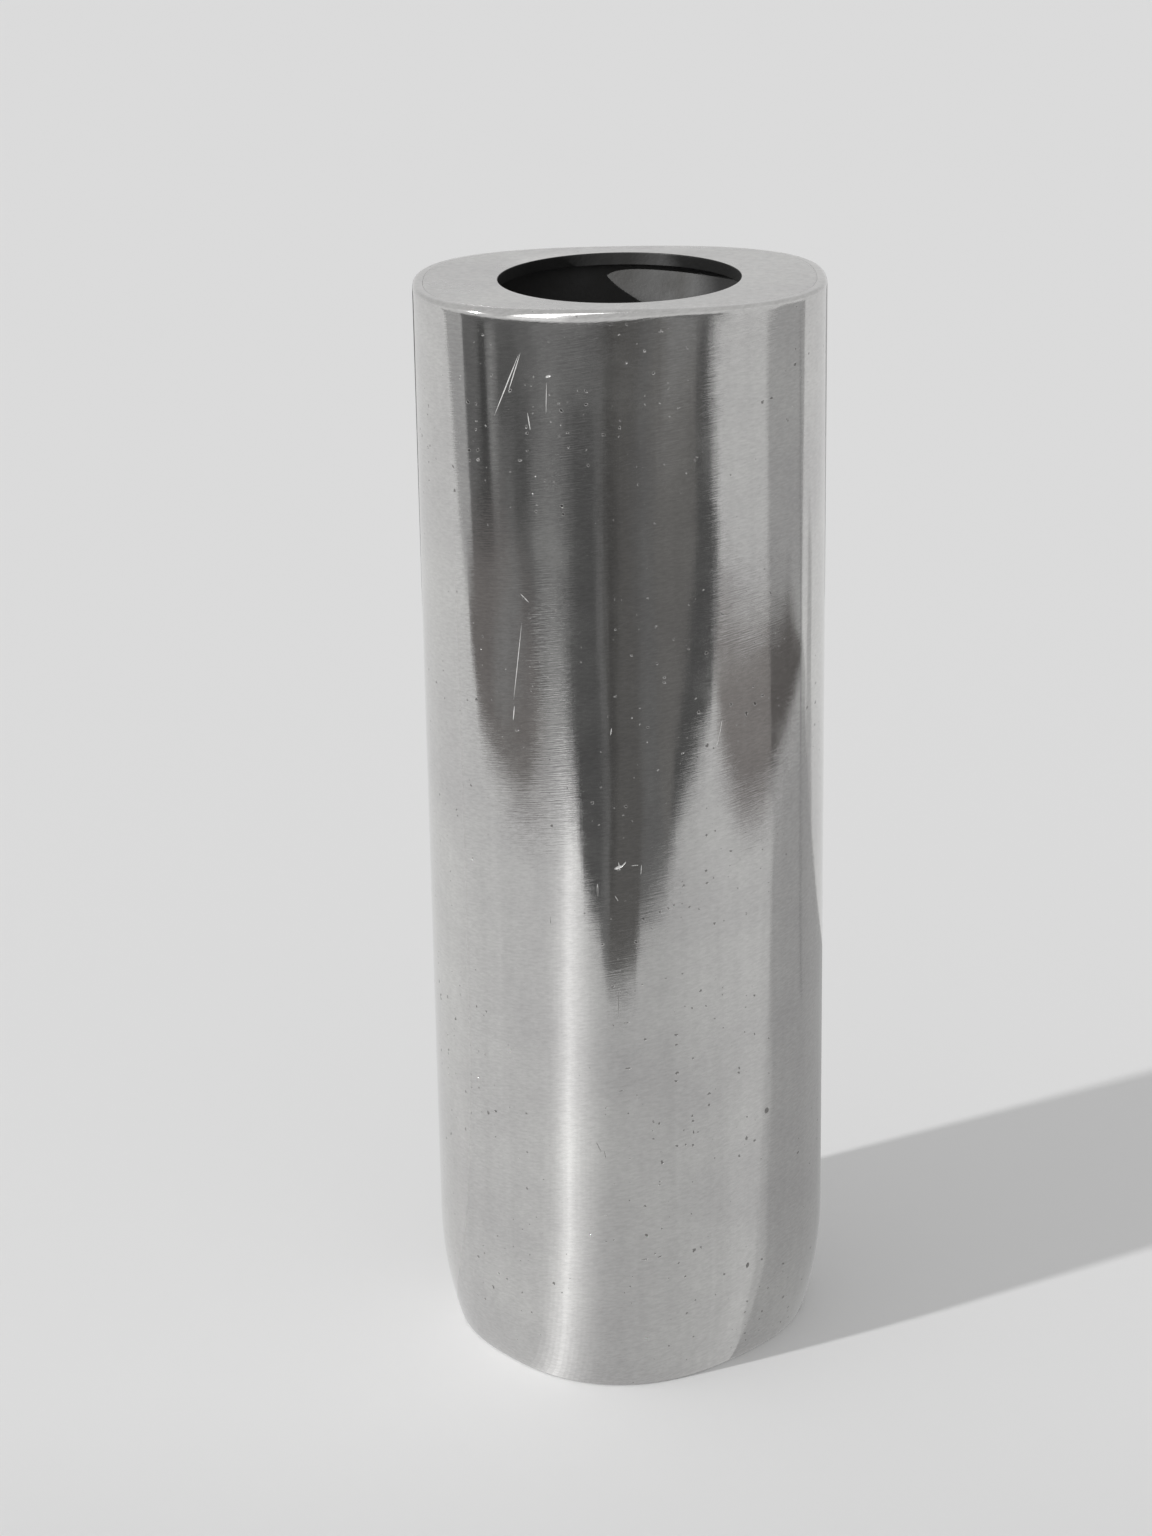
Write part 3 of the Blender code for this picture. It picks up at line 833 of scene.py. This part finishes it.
def turned_brass(name):
    """Brass off the lathe: fine turning rings, warm tarnish and finger dulling."""
    material, tree = bare_material(name)
    output = tree.nodes.new("ShaderNodeOutputMaterial")
    output.label = "brass surface"
    output.location = (520, 200)
    shader = tree.nodes.new("ShaderNodeBsdfPrincipled")
    shader.label = "turned brass"
    shader.location = (200, 200)
    shader.inputs["Metallic"].default_value = 1.0
    place = tree.nodes.new("ShaderNodeTexCoord")
    place.label = "place on the turned piece"
    place.location = (-1500, 0)
    ring_frame = tree.nodes.new("NodeFrame")
    ring_frame.label = "turning rings"
    level = tree.nodes.new("ShaderNodeMapping")
    level.label = "flatten to find the radius"
    level.location = (-1250, -300)
    level.inputs["Scale"].default_value = (1, 1, 0)
    reach = tree.nodes.new("ShaderNodeVectorMath")
    reach.label = "radius"
    reach.location = (-1030, -300)
    reach.operation = "LENGTH"
    apart = tree.nodes.new("ShaderNodeSeparateXYZ")
    apart.label = "height"
    apart.location = (-1030, -480)
    ring_place = tree.nodes.new("ShaderNodeCombineXYZ")
    ring_place.label = "radius and height"
    ring_place.location = (-810, -380)
    rings = tree.nodes.new("ShaderNodeTexNoise")
    rings.label = "tool marks"
    rings.location = (-590, -380)
    rings.inputs["Scale"].default_value = 9000.0
    rings.inputs["Detail"].default_value = 3.0
    ring_bump = tree.nodes.new("ShaderNodeBump")
    ring_bump.label = "tool mark relief"
    ring_bump.location = (-200, -380)
    ring_bump.inputs["Strength"].default_value = 0.45
    ring_bump.inputs["Distance"].default_value = 0.00002
    tarnish_frame = tree.nodes.new("NodeFrame")
    tarnish_frame.label = "tarnish and dulling"
    tarnish = tree.nodes.new("ShaderNodeTexNoise")
    tarnish.label = "tarnish patches"
    tarnish.location = (-810, 250)
    tarnish.inputs["Scale"].default_value = 330.0
    tarnish.inputs["Detail"].default_value = 5.0
    tarnish_tone = tree.nodes.new("ShaderNodeValToRGB")
    tarnish_tone.label = "tarnished to bright brass"
    tarnish_tone.location = (-560, 250)
    tarnish_tone.color_ramp.elements[0].position = 0.34
    tarnish_tone.color_ramp.elements[0].color = (0.47, 0.32, 0.13, 1)
    tarnish_tone.color_ramp.elements[1].position = 0.62
    tarnish_tone.color_ramp.elements[1].color = (0.79, 0.60, 0.29, 1)
    dull = tree.nodes.new("ShaderNodeMapRange")
    dull.label = "roughness"
    dull.location = (-560, 0)
    dull.inputs["To Min"].default_value = 0.42
    dull.inputs["To Max"].default_value = 0.20
    for node in (level, reach, apart, ring_place, rings, ring_bump):
        node.parent = ring_frame
    for node in (tarnish, tarnish_tone, dull):
        node.parent = tarnish_frame
    tree.links.new(place.outputs["Object"], tarnish.inputs["Vector"])
    tree.links.new(place.outputs["Object"], level.inputs["Vector"])
    tree.links.new(place.outputs["Object"], apart.inputs["Vector"])
    tree.links.new(level.outputs["Vector"], reach.inputs[0])
    tree.links.new(reach.outputs["Value"], ring_place.inputs["X"])
    tree.links.new(apart.outputs["Z"], ring_place.inputs["Z"])
    tree.links.new(ring_place.outputs["Vector"], rings.inputs["Vector"])
    tree.links.new(rings.outputs["Fac"], ring_bump.inputs["Height"])
    tree.links.new(tarnish.outputs["Fac"], tarnish_tone.inputs["Fac"])
    tree.links.new(tarnish.outputs["Fac"], dull.inputs["Value"])
    tree.links.new(tarnish_tone.outputs["Color"], shader.inputs["Base Color"])
    tree.links.new(dull.outputs["Result"], shader.inputs["Roughness"])
    tree.links.new(ring_bump.outputs["Normal"], shader.inputs["Normal"])
    tree.links.new(shader.outputs["BSDF"], output.inputs["Surface"])
    return material


bush.data.materials.append(turned_brass("bush brass"))
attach(bush, "base")
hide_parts("wick_bush")

# ---------------------------------------------------------------------------------------------
# Wick washer: a punched silicone disc between the bush and the screw's head. The wick is bent
# under it, and tightening the screw pinches the wick and seals the hole.
# ---------------------------------------------------------------------------------------------
washer_low, washer_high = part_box("wick_washer")
WASHER_HOLE_RADIUS = 0.0028
WASHER_CORNER = 0.0004
washer_rim = washer_high[0]
washer_rings = [
    (washer_low[2], circle(WASHER_HOLE_RADIUS)),
    (washer_low[2], circle(washer_rim - 2 * WASHER_CORNER)),
    (washer_low[2] + WASHER_CORNER / 4, circle(washer_rim - WASHER_CORNER / 2)),
    (washer_low[2] + WASHER_CORNER, circle(washer_rim)),
    (washer_high[2] - WASHER_CORNER, circle(washer_rim)),
    (washer_high[2] - WASHER_CORNER / 4, circle(washer_rim - WASHER_CORNER / 2)),
    (washer_high[2], circle(washer_rim - 2 * WASHER_CORNER)),
    (washer_high[2], circle(WASHER_HOLE_RADIUS))]
washer = loft("silicone_washer", washer_rings, edge_width=0.00006, subdivisions=1, segments=40)
washer.data.materials.append(moulded_silicone("washer silicone"))
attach(washer, "washer")
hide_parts("wick_washer")

# ---------------------------------------------------------------------------------------------
# Wick screw: a turned brass screw with a straight-knurled head, a milled slot for a coin or a
# screwdriver, and a cut thread. It screws up into the bush from the recess under the plug.
# ---------------------------------------------------------------------------------------------
screw_low, screw_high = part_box("wick_screw")
HEAD_RADIUS = screw_high[0]
HEAD_TOP = washer_low[2] - FIT_GAP
HEAD_CHAMFER = 0.0005
HEAD_FACE_INSET = 0.0002           # the chamfer is this much wider than it is tall
THREAD_RADIUS = 0.0025
POINT = 0.0006
POINT_RADIUS = 0.0006              # of the small caps at both ends
KNURLS = 36
STEPS_PER_KNURL = 4
KNURL_DEPTH = 0.0003
SLOT_WIDTH = 0.0012
SLOT_DEPTH = 0.0012


def knurled(angle, z):
    """Radius of the head's side: a flat-topped ridge, then a groove, in each knurl."""
    step = round(angle / math.tau * KNURLS * STEPS_PER_KNURL) % STEPS_PER_KNURL
    return HEAD_RADIUS - (KNURL_DEPTH if step >= STEPS_PER_KNURL / 2 else 0.0)


head_face = circle(HEAD_RADIUS - HEAD_CHAMFER - HEAD_FACE_INSET)
thread_run = screw_high[2] - POINT - HEAD_TOP - THREAD_PITCH
thread_steps = round(thread_run / THREAD_PITCH * STEPS_PER_PITCH)
screw_rings = [
    (screw_low[2], circle(POINT_RADIUS)), (screw_low[2], head_face),
    (screw_low[2] + HEAD_CHAMFER, circle(HEAD_RADIUS)),
    (screw_low[2] + HEAD_CHAMFER, knurled), (HEAD_TOP - HEAD_CHAMFER, knurled),
    (HEAD_TOP - HEAD_CHAMFER, circle(HEAD_RADIUS)), (HEAD_TOP, head_face),
    (HEAD_TOP, circle(THREAD_RADIUS - THREAD_DEPTH)),
    (HEAD_TOP + THREAD_PITCH / 2, circle(THREAD_RADIUS - THREAD_DEPTH))]
screw_rings += [(HEAD_TOP + THREAD_PITCH + thread_run * step / thread_steps,
                 thread(THREAD_RADIUS, THREAD_DEPTH)) for step in range(thread_steps + 1)]
screw_rings += [(screw_high[2], circle(THREAD_RADIUS - POINT - THREAD_DEPTH / 2)),
                (screw_high[2], circle(POINT_RADIUS))]
screw = loft("knurled_wick_screw", screw_rings, edge_width=0.0, subdivisions=0,
             segments=KNURLS * STEPS_PER_KNURL, solid=True)
cutter_shape = bmesh.new()
bmesh.ops.create_cube(cutter_shape, size=1.0)
bmesh.ops.scale(cutter_shape, vec=(4 * HEAD_RADIUS, SLOT_WIDTH, 2 * SLOT_DEPTH),
                verts=cutter_shape.verts)
bmesh.ops.translate(cutter_shape, vec=(0, 0, screw_low[2]), verts=cutter_shape.verts)
cutter_mesh = bpy.data.meshes.new("slot_cutter")
cutter_shape.to_mesh(cutter_mesh)
cutter_shape.free()
cutter = bpy.data.objects.new("slot_cutter", cutter_mesh)
bpy.context.collection.objects.link(cutter)
milled = screw.modifiers.new("milled slot", "BOOLEAN")
milled.solver = "EXACT"
milled.object = cutter
bpy.context.view_layer.objects.active = screw
for modifier in list(screw.modifiers):
    bpy.ops.object.modifier_apply(modifier=modifier.name)
bpy.data.objects.remove(cutter)
bpy.data.meshes.remove(cutter_mesh)
screw.data.set_sharp_from_angle(angle=math.radians(32))
screw.data.materials.append(turned_brass("screw brass"))
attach(screw, "screw")
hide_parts("wick_screw")

# ---------------------------------------------------------------------------------------------
# Studio: a pale table, a plain pale room, one low key light at the front left, and painted
# reflections: glowing cards in the dark and pale shapes of the room that the polished wall
# mirrors. Those lie flat on the table and are seen only in the reflections.
# ---------------------------------------------------------------------------------------------
floor_mesh = bpy.data.meshes.new("table_top")
FLOOR_REACH = 30.0
floor_mesh.from_pydata(
    [(-FLOOR_REACH, -FLOOR_REACH, 0), (FLOOR_REACH, -FLOOR_REACH, 0),
     (FLOOR_REACH, FLOOR_REACH, 0), (-FLOOR_REACH, FLOOR_REACH, 0)], [], [(0, 1, 2, 3)])
floor = bpy.data.objects.new("table_top", floor_mesh)
bpy.context.collection.objects.link(floor)
floor_paint, floor_tree = bare_material("pale table")
floor_output = floor_tree.nodes.new("ShaderNodeOutputMaterial")
floor_output.label = "table surface"
floor_output.location = (200, 100)
floor_shader = floor_tree.nodes.new("ShaderNodeBsdfPrincipled")
floor_shader.label = "matt table"
floor_shader.location = (-200, 100)
floor_shader.inputs["Roughness"].default_value = 1.0
floor_shader.inputs["Specular IOR Level"].default_value = 0.0
floor_place = floor_tree.nodes.new("ShaderNodeTexCoord")
floor_place.label = "place on the table"
floor_place.location = (-900, 300)
floor_axes = floor_tree.nodes.new("ShaderNodeSeparateXYZ")
floor_axes.label = "how far back"
floor_axes.location = (-680, 300)
# The table's pale colour, made a little darker towards the front as painted shade.
floor_tone_and_shade = floor_tree.nodes.new("ShaderNodeMapRange")
floor_tone_and_shade.label = "pale, with painted shade towards the front"
floor_tone_and_shade.location = (-460, 300)
floor_tone_and_shade.interpolation_type = "SMOOTHSTEP"
floor_tone_and_shade.inputs["From Min"].default_value = -0.125
floor_tone_and_shade.inputs["From Max"].default_value = -0.03
floor_tone_and_shade.inputs["To Min"].default_value = 0.76
floor_tone_and_shade.inputs["To Max"].default_value = 0.81
floor_tree.links.new(floor_place.outputs["Object"], floor_axes.inputs["Vector"])
floor_tree.links.new(floor_axes.outputs["Y"], floor_tone_and_shade.inputs["Value"])
floor_tree.links.new(floor_tone_and_shade.outputs["Result"], floor_shader.inputs["Base Color"])
floor_tree.links.new(floor_shader.outputs["BSDF"], floor_output.inputs["Surface"])
floor.data.materials.append(floor_paint)

# Each painted reflection: its name, brightness, and corners in metres on the table.
mirrored = [
    ("table_far_left", 0.680, ((0.0, 0.0), (-0.62, 0.03), (-0.62, -0.12), (-0.33, -0.52))),
    ("table_left", 0.665, ((0.0, 0.0), (-0.62, -0.10), (-0.33, -0.52), (0.0, -0.36))),
    ("table_front_left", 0.650, ((0.0, 0.0), (-0.55, -0.22), (-0.33, -0.52), (0.0, -0.36))),
    ("table_front_right", 0.51, ((0.0, 0.0), (-0.014, -0.04), (-0.035, -0.09), (-0.05, -0.13),
                                 (-0.095, -0.26), (-0.14, -0.43), (0.36, -0.44),
                                 (0.35, -0.07))),
    # The object's own shadow on the table as the wall mirrors it: a painted shadow.
    ("own_shadow", 0.41, ((0.0, -0.022), (0.015, -0.0275), (0.021, -0.0262), (0.031, -0.0252),
                          (0.05, -0.0258), (0.10, -0.0285), (0.17, -0.0355),
                          (0.255, -0.059), (0.30, -0.074), (0.345, -0.073), (0.378, 0.01),
                          (0.406, 0.129), (0.40, 0.15), (0.25, 0.17), (0.10, 0.188),
                          (0.045, 0.19), (0.0, 0.02))),
    ("shadow_end", 0.46, ((0.35, -0.10), (0.47, 0.15), (0.40, 0.17), (0.37, 0.0))),
    ("room_right", 0.41, ((0.44, 0.13), (0.60, 0.165), (1.3, 0.36), (1.6, -0.30), (0.88, -0.50),
                          (0.50, -0.18), (0.40, -0.05))),
    ("room_left", 0.43, ((-0.55, -0.11), (-0.64, -0.24), (-1.0, -0.32), (-1.6, -0.45),
                         (-1.6, 0.25), (-1.0, 0.03))),
    ("room_front", 0.150, ((-1.6, -0.44), (-1.0, -0.30), (-0.85, -0.25), (-0.64, -0.20),
                           (-0.40, -0.46), (-0.30, -0.42), (-0.24, -0.41), (-0.20, -0.44),
                           (-0.175, -0.46), (-0.13, -0.37), (-0.06, -0.335), (-0.05, -0.31),
                           (-0.03, -0.295), (0.05, -0.30), (0.07, -0.335), (0.15, -0.335),
                           (0.20, -0.375), (0.32, -0.39), (0.40, -0.48), (0.48, -0.90),
                           (0.49, -1.09), (0.9, -1.2), (0.8, -3.4), (-1.6, -3.4))),
    ("dark_middle_left", 0.098, ((-0.06, -0.335), (-0.10, -0.35), (-0.13, -0.37),
                                 (-0.17, -0.47), (-0.24, -0.62), (-0.26, -1.0),
                                 (-0.24, -2.4), (-0.09, -2.4), (-0.10, -0.8),
                                 (-0.05, -0.5))),
    ("pale_line", 0.165, ((-0.055, -0.33), (-0.05, -0.50), (-0.10, -0.80), (-0.10, -2.4),
                          (-0.06, -2.4), (-0.06, -0.80), (-0.03, -0.50), (-0.03, -0.30))),
    ("dark_middle", 0.120, ((-0.03, -0.295), (0.05, -0.30), (0.07, -0.335), (0.10, -0.45),
                            (0.10, -2.4), (-0.06, -2.4), (-0.06, -0.80), (-0.03, -0.50))),
    ("darkest_middle", 0.080, ((-0.028, -0.35), (-0.008, -0.40), (0.006, -0.80), (-0.004, -2.4),
                               (-0.055, -2.4), (-0.05, -0.80), (-0.025, -0.50))),
    ("grey_middle_right", 0.165, ((0.16, -0.36), (0.25, -0.46), (0.34, -0.60), (0.40, -0.90),
                                  (0.41, -1.09), (0.48, -1.15), (0.40, -2.4), (0.22, -2.4),
                                  (0.16, -1.4), (0.17, -0.7))),
    ("far_right", 0.20, ((0.22, -0.98), (0.42, -0.93), (0.48, -1.15), (0.40, -2.4),
                         (0.22, -2.4))),
    ("far_right_paler", 0.25, ((0.24, -1.14), (0.42, -1.08), (0.48, -1.15), (0.40, -2.4),
                               (0.24, -2.4))),
    ("far_left", 0.17, ((-0.11, -1.38), (-0.27, -1.26), (-0.50, -1.02), (-0.70, -1.40),
                        (-0.60, -2.4), (-0.11, -2.4))),
    ("far_left_paler", 0.23, ((-0.20, -1.50), (-0.30, -1.42), (-0.52, -1.16), (-0.70, -1.40),
                              (-0.60, -2.4), (-0.20, -2.4))),
    ("dark_band_right", 0.095, ((0.17, -0.34), (0.20, -0.375), (0.32, -0.39), (0.37, -0.43),
                                (0.41, -0.50), (0.455, -0.64), (0.48, -0.90), (0.495, -1.10),
                                (0.46, -1.18), (0.41, -1.10), (0.39, -0.90), (0.37, -0.75),
                                (0.33, -0.61), (0.27, -0.52), (0.21, -0.45))),
    ("window_right", 0.60, ((0.505, -0.19), (0.70, -0.335), (0.87, -0.49), (0.88, -0.53),
                            (0.80, -0.74), (0.70, -0.90), (0.53, -1.10), (0.50, -1.04),
                            (0.48, -0.88), (0.45, -0.64), (0.40, -0.50), (0.44, -0.33))),
    ("grey_right", 0.235, ((0.43, 0.05), (0.40, -0.02), (0.37, -0.08), (0.325, -0.13),
                           (0.298, -0.19), (0.318, -0.33), (0.35, -0.42), (0.40, -0.50),
                           (0.44, -0.33), (0.505, -0.19))),
    ("dark_right", 0.125, ((0.455, 0.14), (0.49, 0.09), (0.54, -0.02), (0.50, -0.18),
                           (0.42, -0.13), (0.36, -0.10), (0.40, -0.02), (0.43, 0.05))),
    ("dark_line_right", 0.22, ((0.95, 0.135), (0.80, 0.136), (0.646, 0.131), (0.519, 0.121),
                               (0.414, 0.107), (0.326, 0.090), (0.188, 0.052), (0.189, 0.056),
                               (0.327, 0.097), (0.415, 0.116), (0.520, 0.132), (0.647, 0.143),
                               (0.80, 0.150), (0.95, 0.152))),
    ("brushed_left", 0.25, ((-0.31, -0.375), (-0.24, -0.40), (-0.21, -0.43), (-0.25, -0.62),
                            (-0.28, -0.90), (-0.30, -1.10), (-0.38, -1.05), (-0.44, -0.80),
                            (-0.43, -0.62), (-0.31, -0.51))),
    ("brush_glow", 0.31, ((-0.315, -0.36), (-0.22, -0.40), (-0.19, -0.44), (-0.24, -0.56),
                          (-0.31, -0.54))),
    ("brush_glow_near", 0.42, ((-0.315, -0.35), (-0.22, -0.395), (-0.19, -0.44),
                               (-0.225, -0.49), (-0.285, -0.47))),
    ("grey_left", 0.185, ((-0.56, -0.10), (-0.50, -0.11), (-0.43, -0.12), (-0.38, -0.18),
                          (-0.337, -0.232), (-0.308, -0.273), (-0.292, -0.338), (-0.30, -0.45),
                          (-0.40, -0.55), (-0.56, -0.50), (-0.60, -0.40), (-0.645, -0.22))),
    ("pale_in_grey_left", 0.24, ((-0.45, -0.20), (-0.41, -0.26), (-0.40, -0.36),
                                 (-0.42, -0.50), (-0.50, -0.50), (-0.50, -0.34))),
    ("dark_left", 0.075, ((-0.64, -0.22), (-0.60, -0.40), (-0.72, -0.50), (-0.86, -0.64),
                          (-1.0, -0.72), (-0.98, -0.58), (-0.80, -0.45), (-0.70, -0.34))),
    ("pale_left", 0.27, ((-0.68, -0.47), (-0.64, -0.50), (-0.74, -0.66), (-0.83, -0.82),
                         (-0.90, -0.74), (-0.78, -0.56))),
    ("dark_far_left", 0.080, ((-0.70, -0.58), (-0.66, -0.80), (-0.64, -1.0), (-0.74, -1.0),
                              (-0.80, -0.85))),
    ("room_back_dark", 0.13, ((-0.10, 0.50), (0.02, 0.46), (0.10, 0.90), (0.05, 2.4),
                              (-0.40, 2.4), (-0.26, 0.90))),
    ("room_back_grey", 0.36, ((0.02, 0.46), (0.14, 0.50), (0.34, 0.90), (0.50, 2.4),
                              (0.05, 2.4), (0.10, 0.90))),
    ("dark_near_left", 0.095, ((-0.50, -0.53), (-0.56, -0.66), (-0.60, -0.82), (-0.52, -0.95),
                               (-0.47, -0.75), (-0.46, -0.60))),
]


def reflect_only(name, brightness, corners, tint=(1, 1, 1)):
    """A flat glowing card that only mirrors see: a painted reflection."""
    mesh = bpy.data.meshes.new(name)
    mesh.from_pydata(corners, [], [tuple(range(len(corners)))])
    card = bpy.data.objects.new(name, mesh)
    bpy.context.collection.objects.link(card)
    paint, tree = bare_material(name)
    glow = tree.nodes.new("ShaderNodeEmission")
    glow.label = "brightness in the mirror"
    glow.location = (0, 0)
    glow.inputs["Color"].default_value = (*tint, 1)
    glow.inputs["Strength"].default_value = brightness
    output = tree.nodes.new("ShaderNodeOutputMaterial")
    output.label = "card surface"
    output.location = (220, 0)
    tree.links.new(glow.outputs["Emission"], output.inputs["Surface"])
    mesh.materials.append(paint)
    card.visible_camera = False
    card.visible_diffuse = False
    card.visible_shadow = False
    card.visible_transmission = False


# Painted reflection of the table brightening towards the object's own shadow: each layer starts
# further to the right.
GLOW_LAYERS = 6
GLOW_FIRST, GLOW_LAST = 0.525, 0.60
glow_start = ((0.20, -0.38), (0.12, -0.20), (0.055, -0.09), (0.016, -0.040))
glow_end = ((0.30, -0.36), (0.26, -0.21), (0.19, -0.09), (0.050, -0.034))
glow_outside = [(0.0, -0.022), (0.345, -0.073), (0.33, -0.28), (0.32, -0.40)]
glow_layers = []
for layer in range(GLOW_LAYERS):
    share = layer / (GLOW_LAYERS - 1)
    edge = [[start + (end - start) * share for start, end in zip(first, last)]
            for first, last in zip(glow_start, glow_end)]
    glow = GLOW_FIRST + (GLOW_LAST - GLOW_FIRST) * share
    glow_layers.append(("table_glow_%d" % (layer + 1), glow, glow_outside + edge))

# A painted highlight: a bright streak of layers on the table, seen only in reflections, draws
# the upright highlight on the sleeve's front. Its left edge, its middle and its right edge:
streak = [
    ((0.0, 0.0), (0.0, 0.0), (0.0, 0.0)),
    ((-0.026, -0.029), (-0.018, -0.033), (-0.004, -0.038)),
    ((-0.062, -0.055), (-0.050, -0.074), (-0.004, -0.090)),
    ((-0.126, -0.114), (-0.103, -0.157), (-0.002, -0.190)),
    ((-0.182, -0.180), (-0.142, -0.238), (-0.002, -0.280)),
    ((-0.226, -0.268), (-0.174, -0.335), (-0.040, -0.400)),
    ((-0.250, -0.365), (-0.190, -0.420), (-0.080, -0.470))]
STREAK_LAYERS = 12
STREAK_LEFT, STREAK_MIDDLE, STREAK_RIGHT = 0.66, 1.12, 0.515
RIGHT_FALL, LEFT_FALL = 2.6, 0.62
streak_layers = []
for layer in range(STREAK_LAYERS):
    right_inward = layer / STREAK_LAYERS
    gain = ((layer + 1) / STREAK_LAYERS) ** RIGHT_FALL
    glow = STREAK_RIGHT + (STREAK_MIDDLE - STREAK_RIGHT) * gain
    left_inward = 1.0
    if glow > STREAK_LEFT:
        left_inward = ((glow - STREAK_LEFT) / (STREAK_MIDDLE - STREAK_LEFT)) ** LEFT_FALL
    near = [[edge + (middle - edge) * left_inward for edge, middle in zip(left, centre)]
            for left, centre, right in streak]
    far = [[edge + (middle - edge) * right_inward for edge, middle in zip(right, centre)]
           for left, centre, right in reversed(streak[1:])]
    streak_layers.append(("table_streak_%d" % (layer + 1), glow, near + far))
TABLE_CARDS = 4                    # the first ones listed, which the layers lie on
mirrored[TABLE_CARDS:TABLE_CARDS] = glow_layers + streak_layers

# Tints of some painted reflections: warm wood and a warm grey.
WOOD = (1.03, 0.97, 0.95)
WARM = (1.01, 0.99, 0.965)
TINTS = {"grey_left": WOOD, "grey_right": WOOD, "dark_right": WOOD, "dark_middle": WARM,
         "darkest_middle": WARM, "grey_middle_right": WARM, "far_right": WARM}
CARD_GAP = 0.00002                 # from each card up to the next one
for layer, (name, brightness, corners) in enumerate(mirrored):
    height = CARD_GAP * (layer + 1)
    reflect_only(name, brightness, [(x, y, height) for x, y in corners],
                 TINTS.get(name, (1, 1, 1)))

# A painted highlight on the rounded top edge: glowing cards for a wide window at the front
# left, above the table's horizon, seen only in reflections.
for name, brightness, first, last, low, high in (
        ("rim_highlight_haze", 0.92, -38, -12, (2.4, 0.28), (0.5, 2.6)),
        ("rim_highlight_pane", 3.4, -34, -17, (1.55, 0.95), (0.2, 2.6))):
    window_corners = []
    for side, (reach, height) in ((first, low), (last, low), (last, high), (first, high)):
        turn = math.radians(side)
        window_corners.append((reach * math.sin(turn), -reach * math.cos(turn), height))
    reflect_only(name, brightness, window_corners)

world = bpy.data.worlds.new("pale room")
world.use_nodes = True
room = world.node_tree
room_light = room.nodes["Background"]
room_light.label = "soft room light"
room_light.inputs["Strength"].default_value = 1.0
room_way = room.nodes.new("ShaderNodeTexCoord")
room_way.label = "way the light comes from"
room_way.location = (-900, 300)
room_up = room.nodes.new("ShaderNodeSeparateXYZ")
room_up.label = "how high"
room_up.location = (-700, 300)
room_tone = room.nodes.new("ShaderNodeValToRGB")
room_tone.label = "as bright as the table at the horizon, softer above"
room_tone.location = (-480, 300)
room_tone.color_ramp.elements[0].position = 0.06
room_tone.color_ramp.elements[0].color = (0.705, 0.705, 0.705, 1)
room_tone.color_ramp.elements[1].position = 0.40
room_tone.color_ramp.elements[1].color = (0.60, 0.60, 0.60, 1)
room.links.new(room_way.outputs["Generated"], room_up.inputs["Vector"])
room.links.new(room_up.outputs["Z"], room_tone.inputs["Fac"])
room.links.new(room_tone.outputs["Color"], room_light.inputs["Color"])
bpy.context.scene.world = world

KEY_SIDE = math.radians(28)
KEY_HEIGHT = math.radians(20)
key_data = bpy.data.lights.new("key", "SUN")
key_data.energy = 2.45
key_data.angle = math.radians(2.0)
key = bpy.data.objects.new("key", key_data)
bpy.context.collection.objects.link(key)
key_from = Vector((-math.cos(KEY_SIDE) * math.cos(KEY_HEIGHT),
                   -math.sin(KEY_SIDE) * math.cos(KEY_HEIGHT), math.sin(KEY_HEIGHT)))
key.rotation_euler = key_from.to_track_quat("Z", "Y").to_euler()

# The same window's gleam through the mouth, a narrow beam onto the bore's far wall.
GLEAM_SPOT = Vector((0.015, 0.031, 0.2125))
gleam_data = bpy.data.lights.new("gleam", "SPOT")
gleam_data.energy = 130.0
gleam_data.spot_size = math.radians(1.0)
gleam_data.spot_blend = 0.5
gleam_data.shadow_soft_size = 0.002
gleam = bpy.data.objects.new("gleam", gleam_data)
bpy.context.collection.objects.link(gleam)
gleam.location = GLEAM_SPOT + key_from
gleam.rotation_euler = key.rotation_euler

CAMERA_PLACE = (-0.00995, -0.6408, 0.3538)
CAMERA_TILT = math.radians(70.0)
CAMERA_ROLL = -0.018
camera_data = bpy.data.cameras.new("camera")
camera_data.lens = 79.7
camera = bpy.data.objects.new("camera", camera_data)
bpy.context.collection.objects.link(camera)
camera.location = CAMERA_PLACE
camera.rotation_euler = (Matrix.Rotation(CAMERA_TILT, 3, "X")
                         @ Matrix.Rotation(CAMERA_ROLL, 3, "Z")).to_euler()
bpy.context.scene.camera = camera
bpy.context.scene.view_settings.view_transform = "Standard"
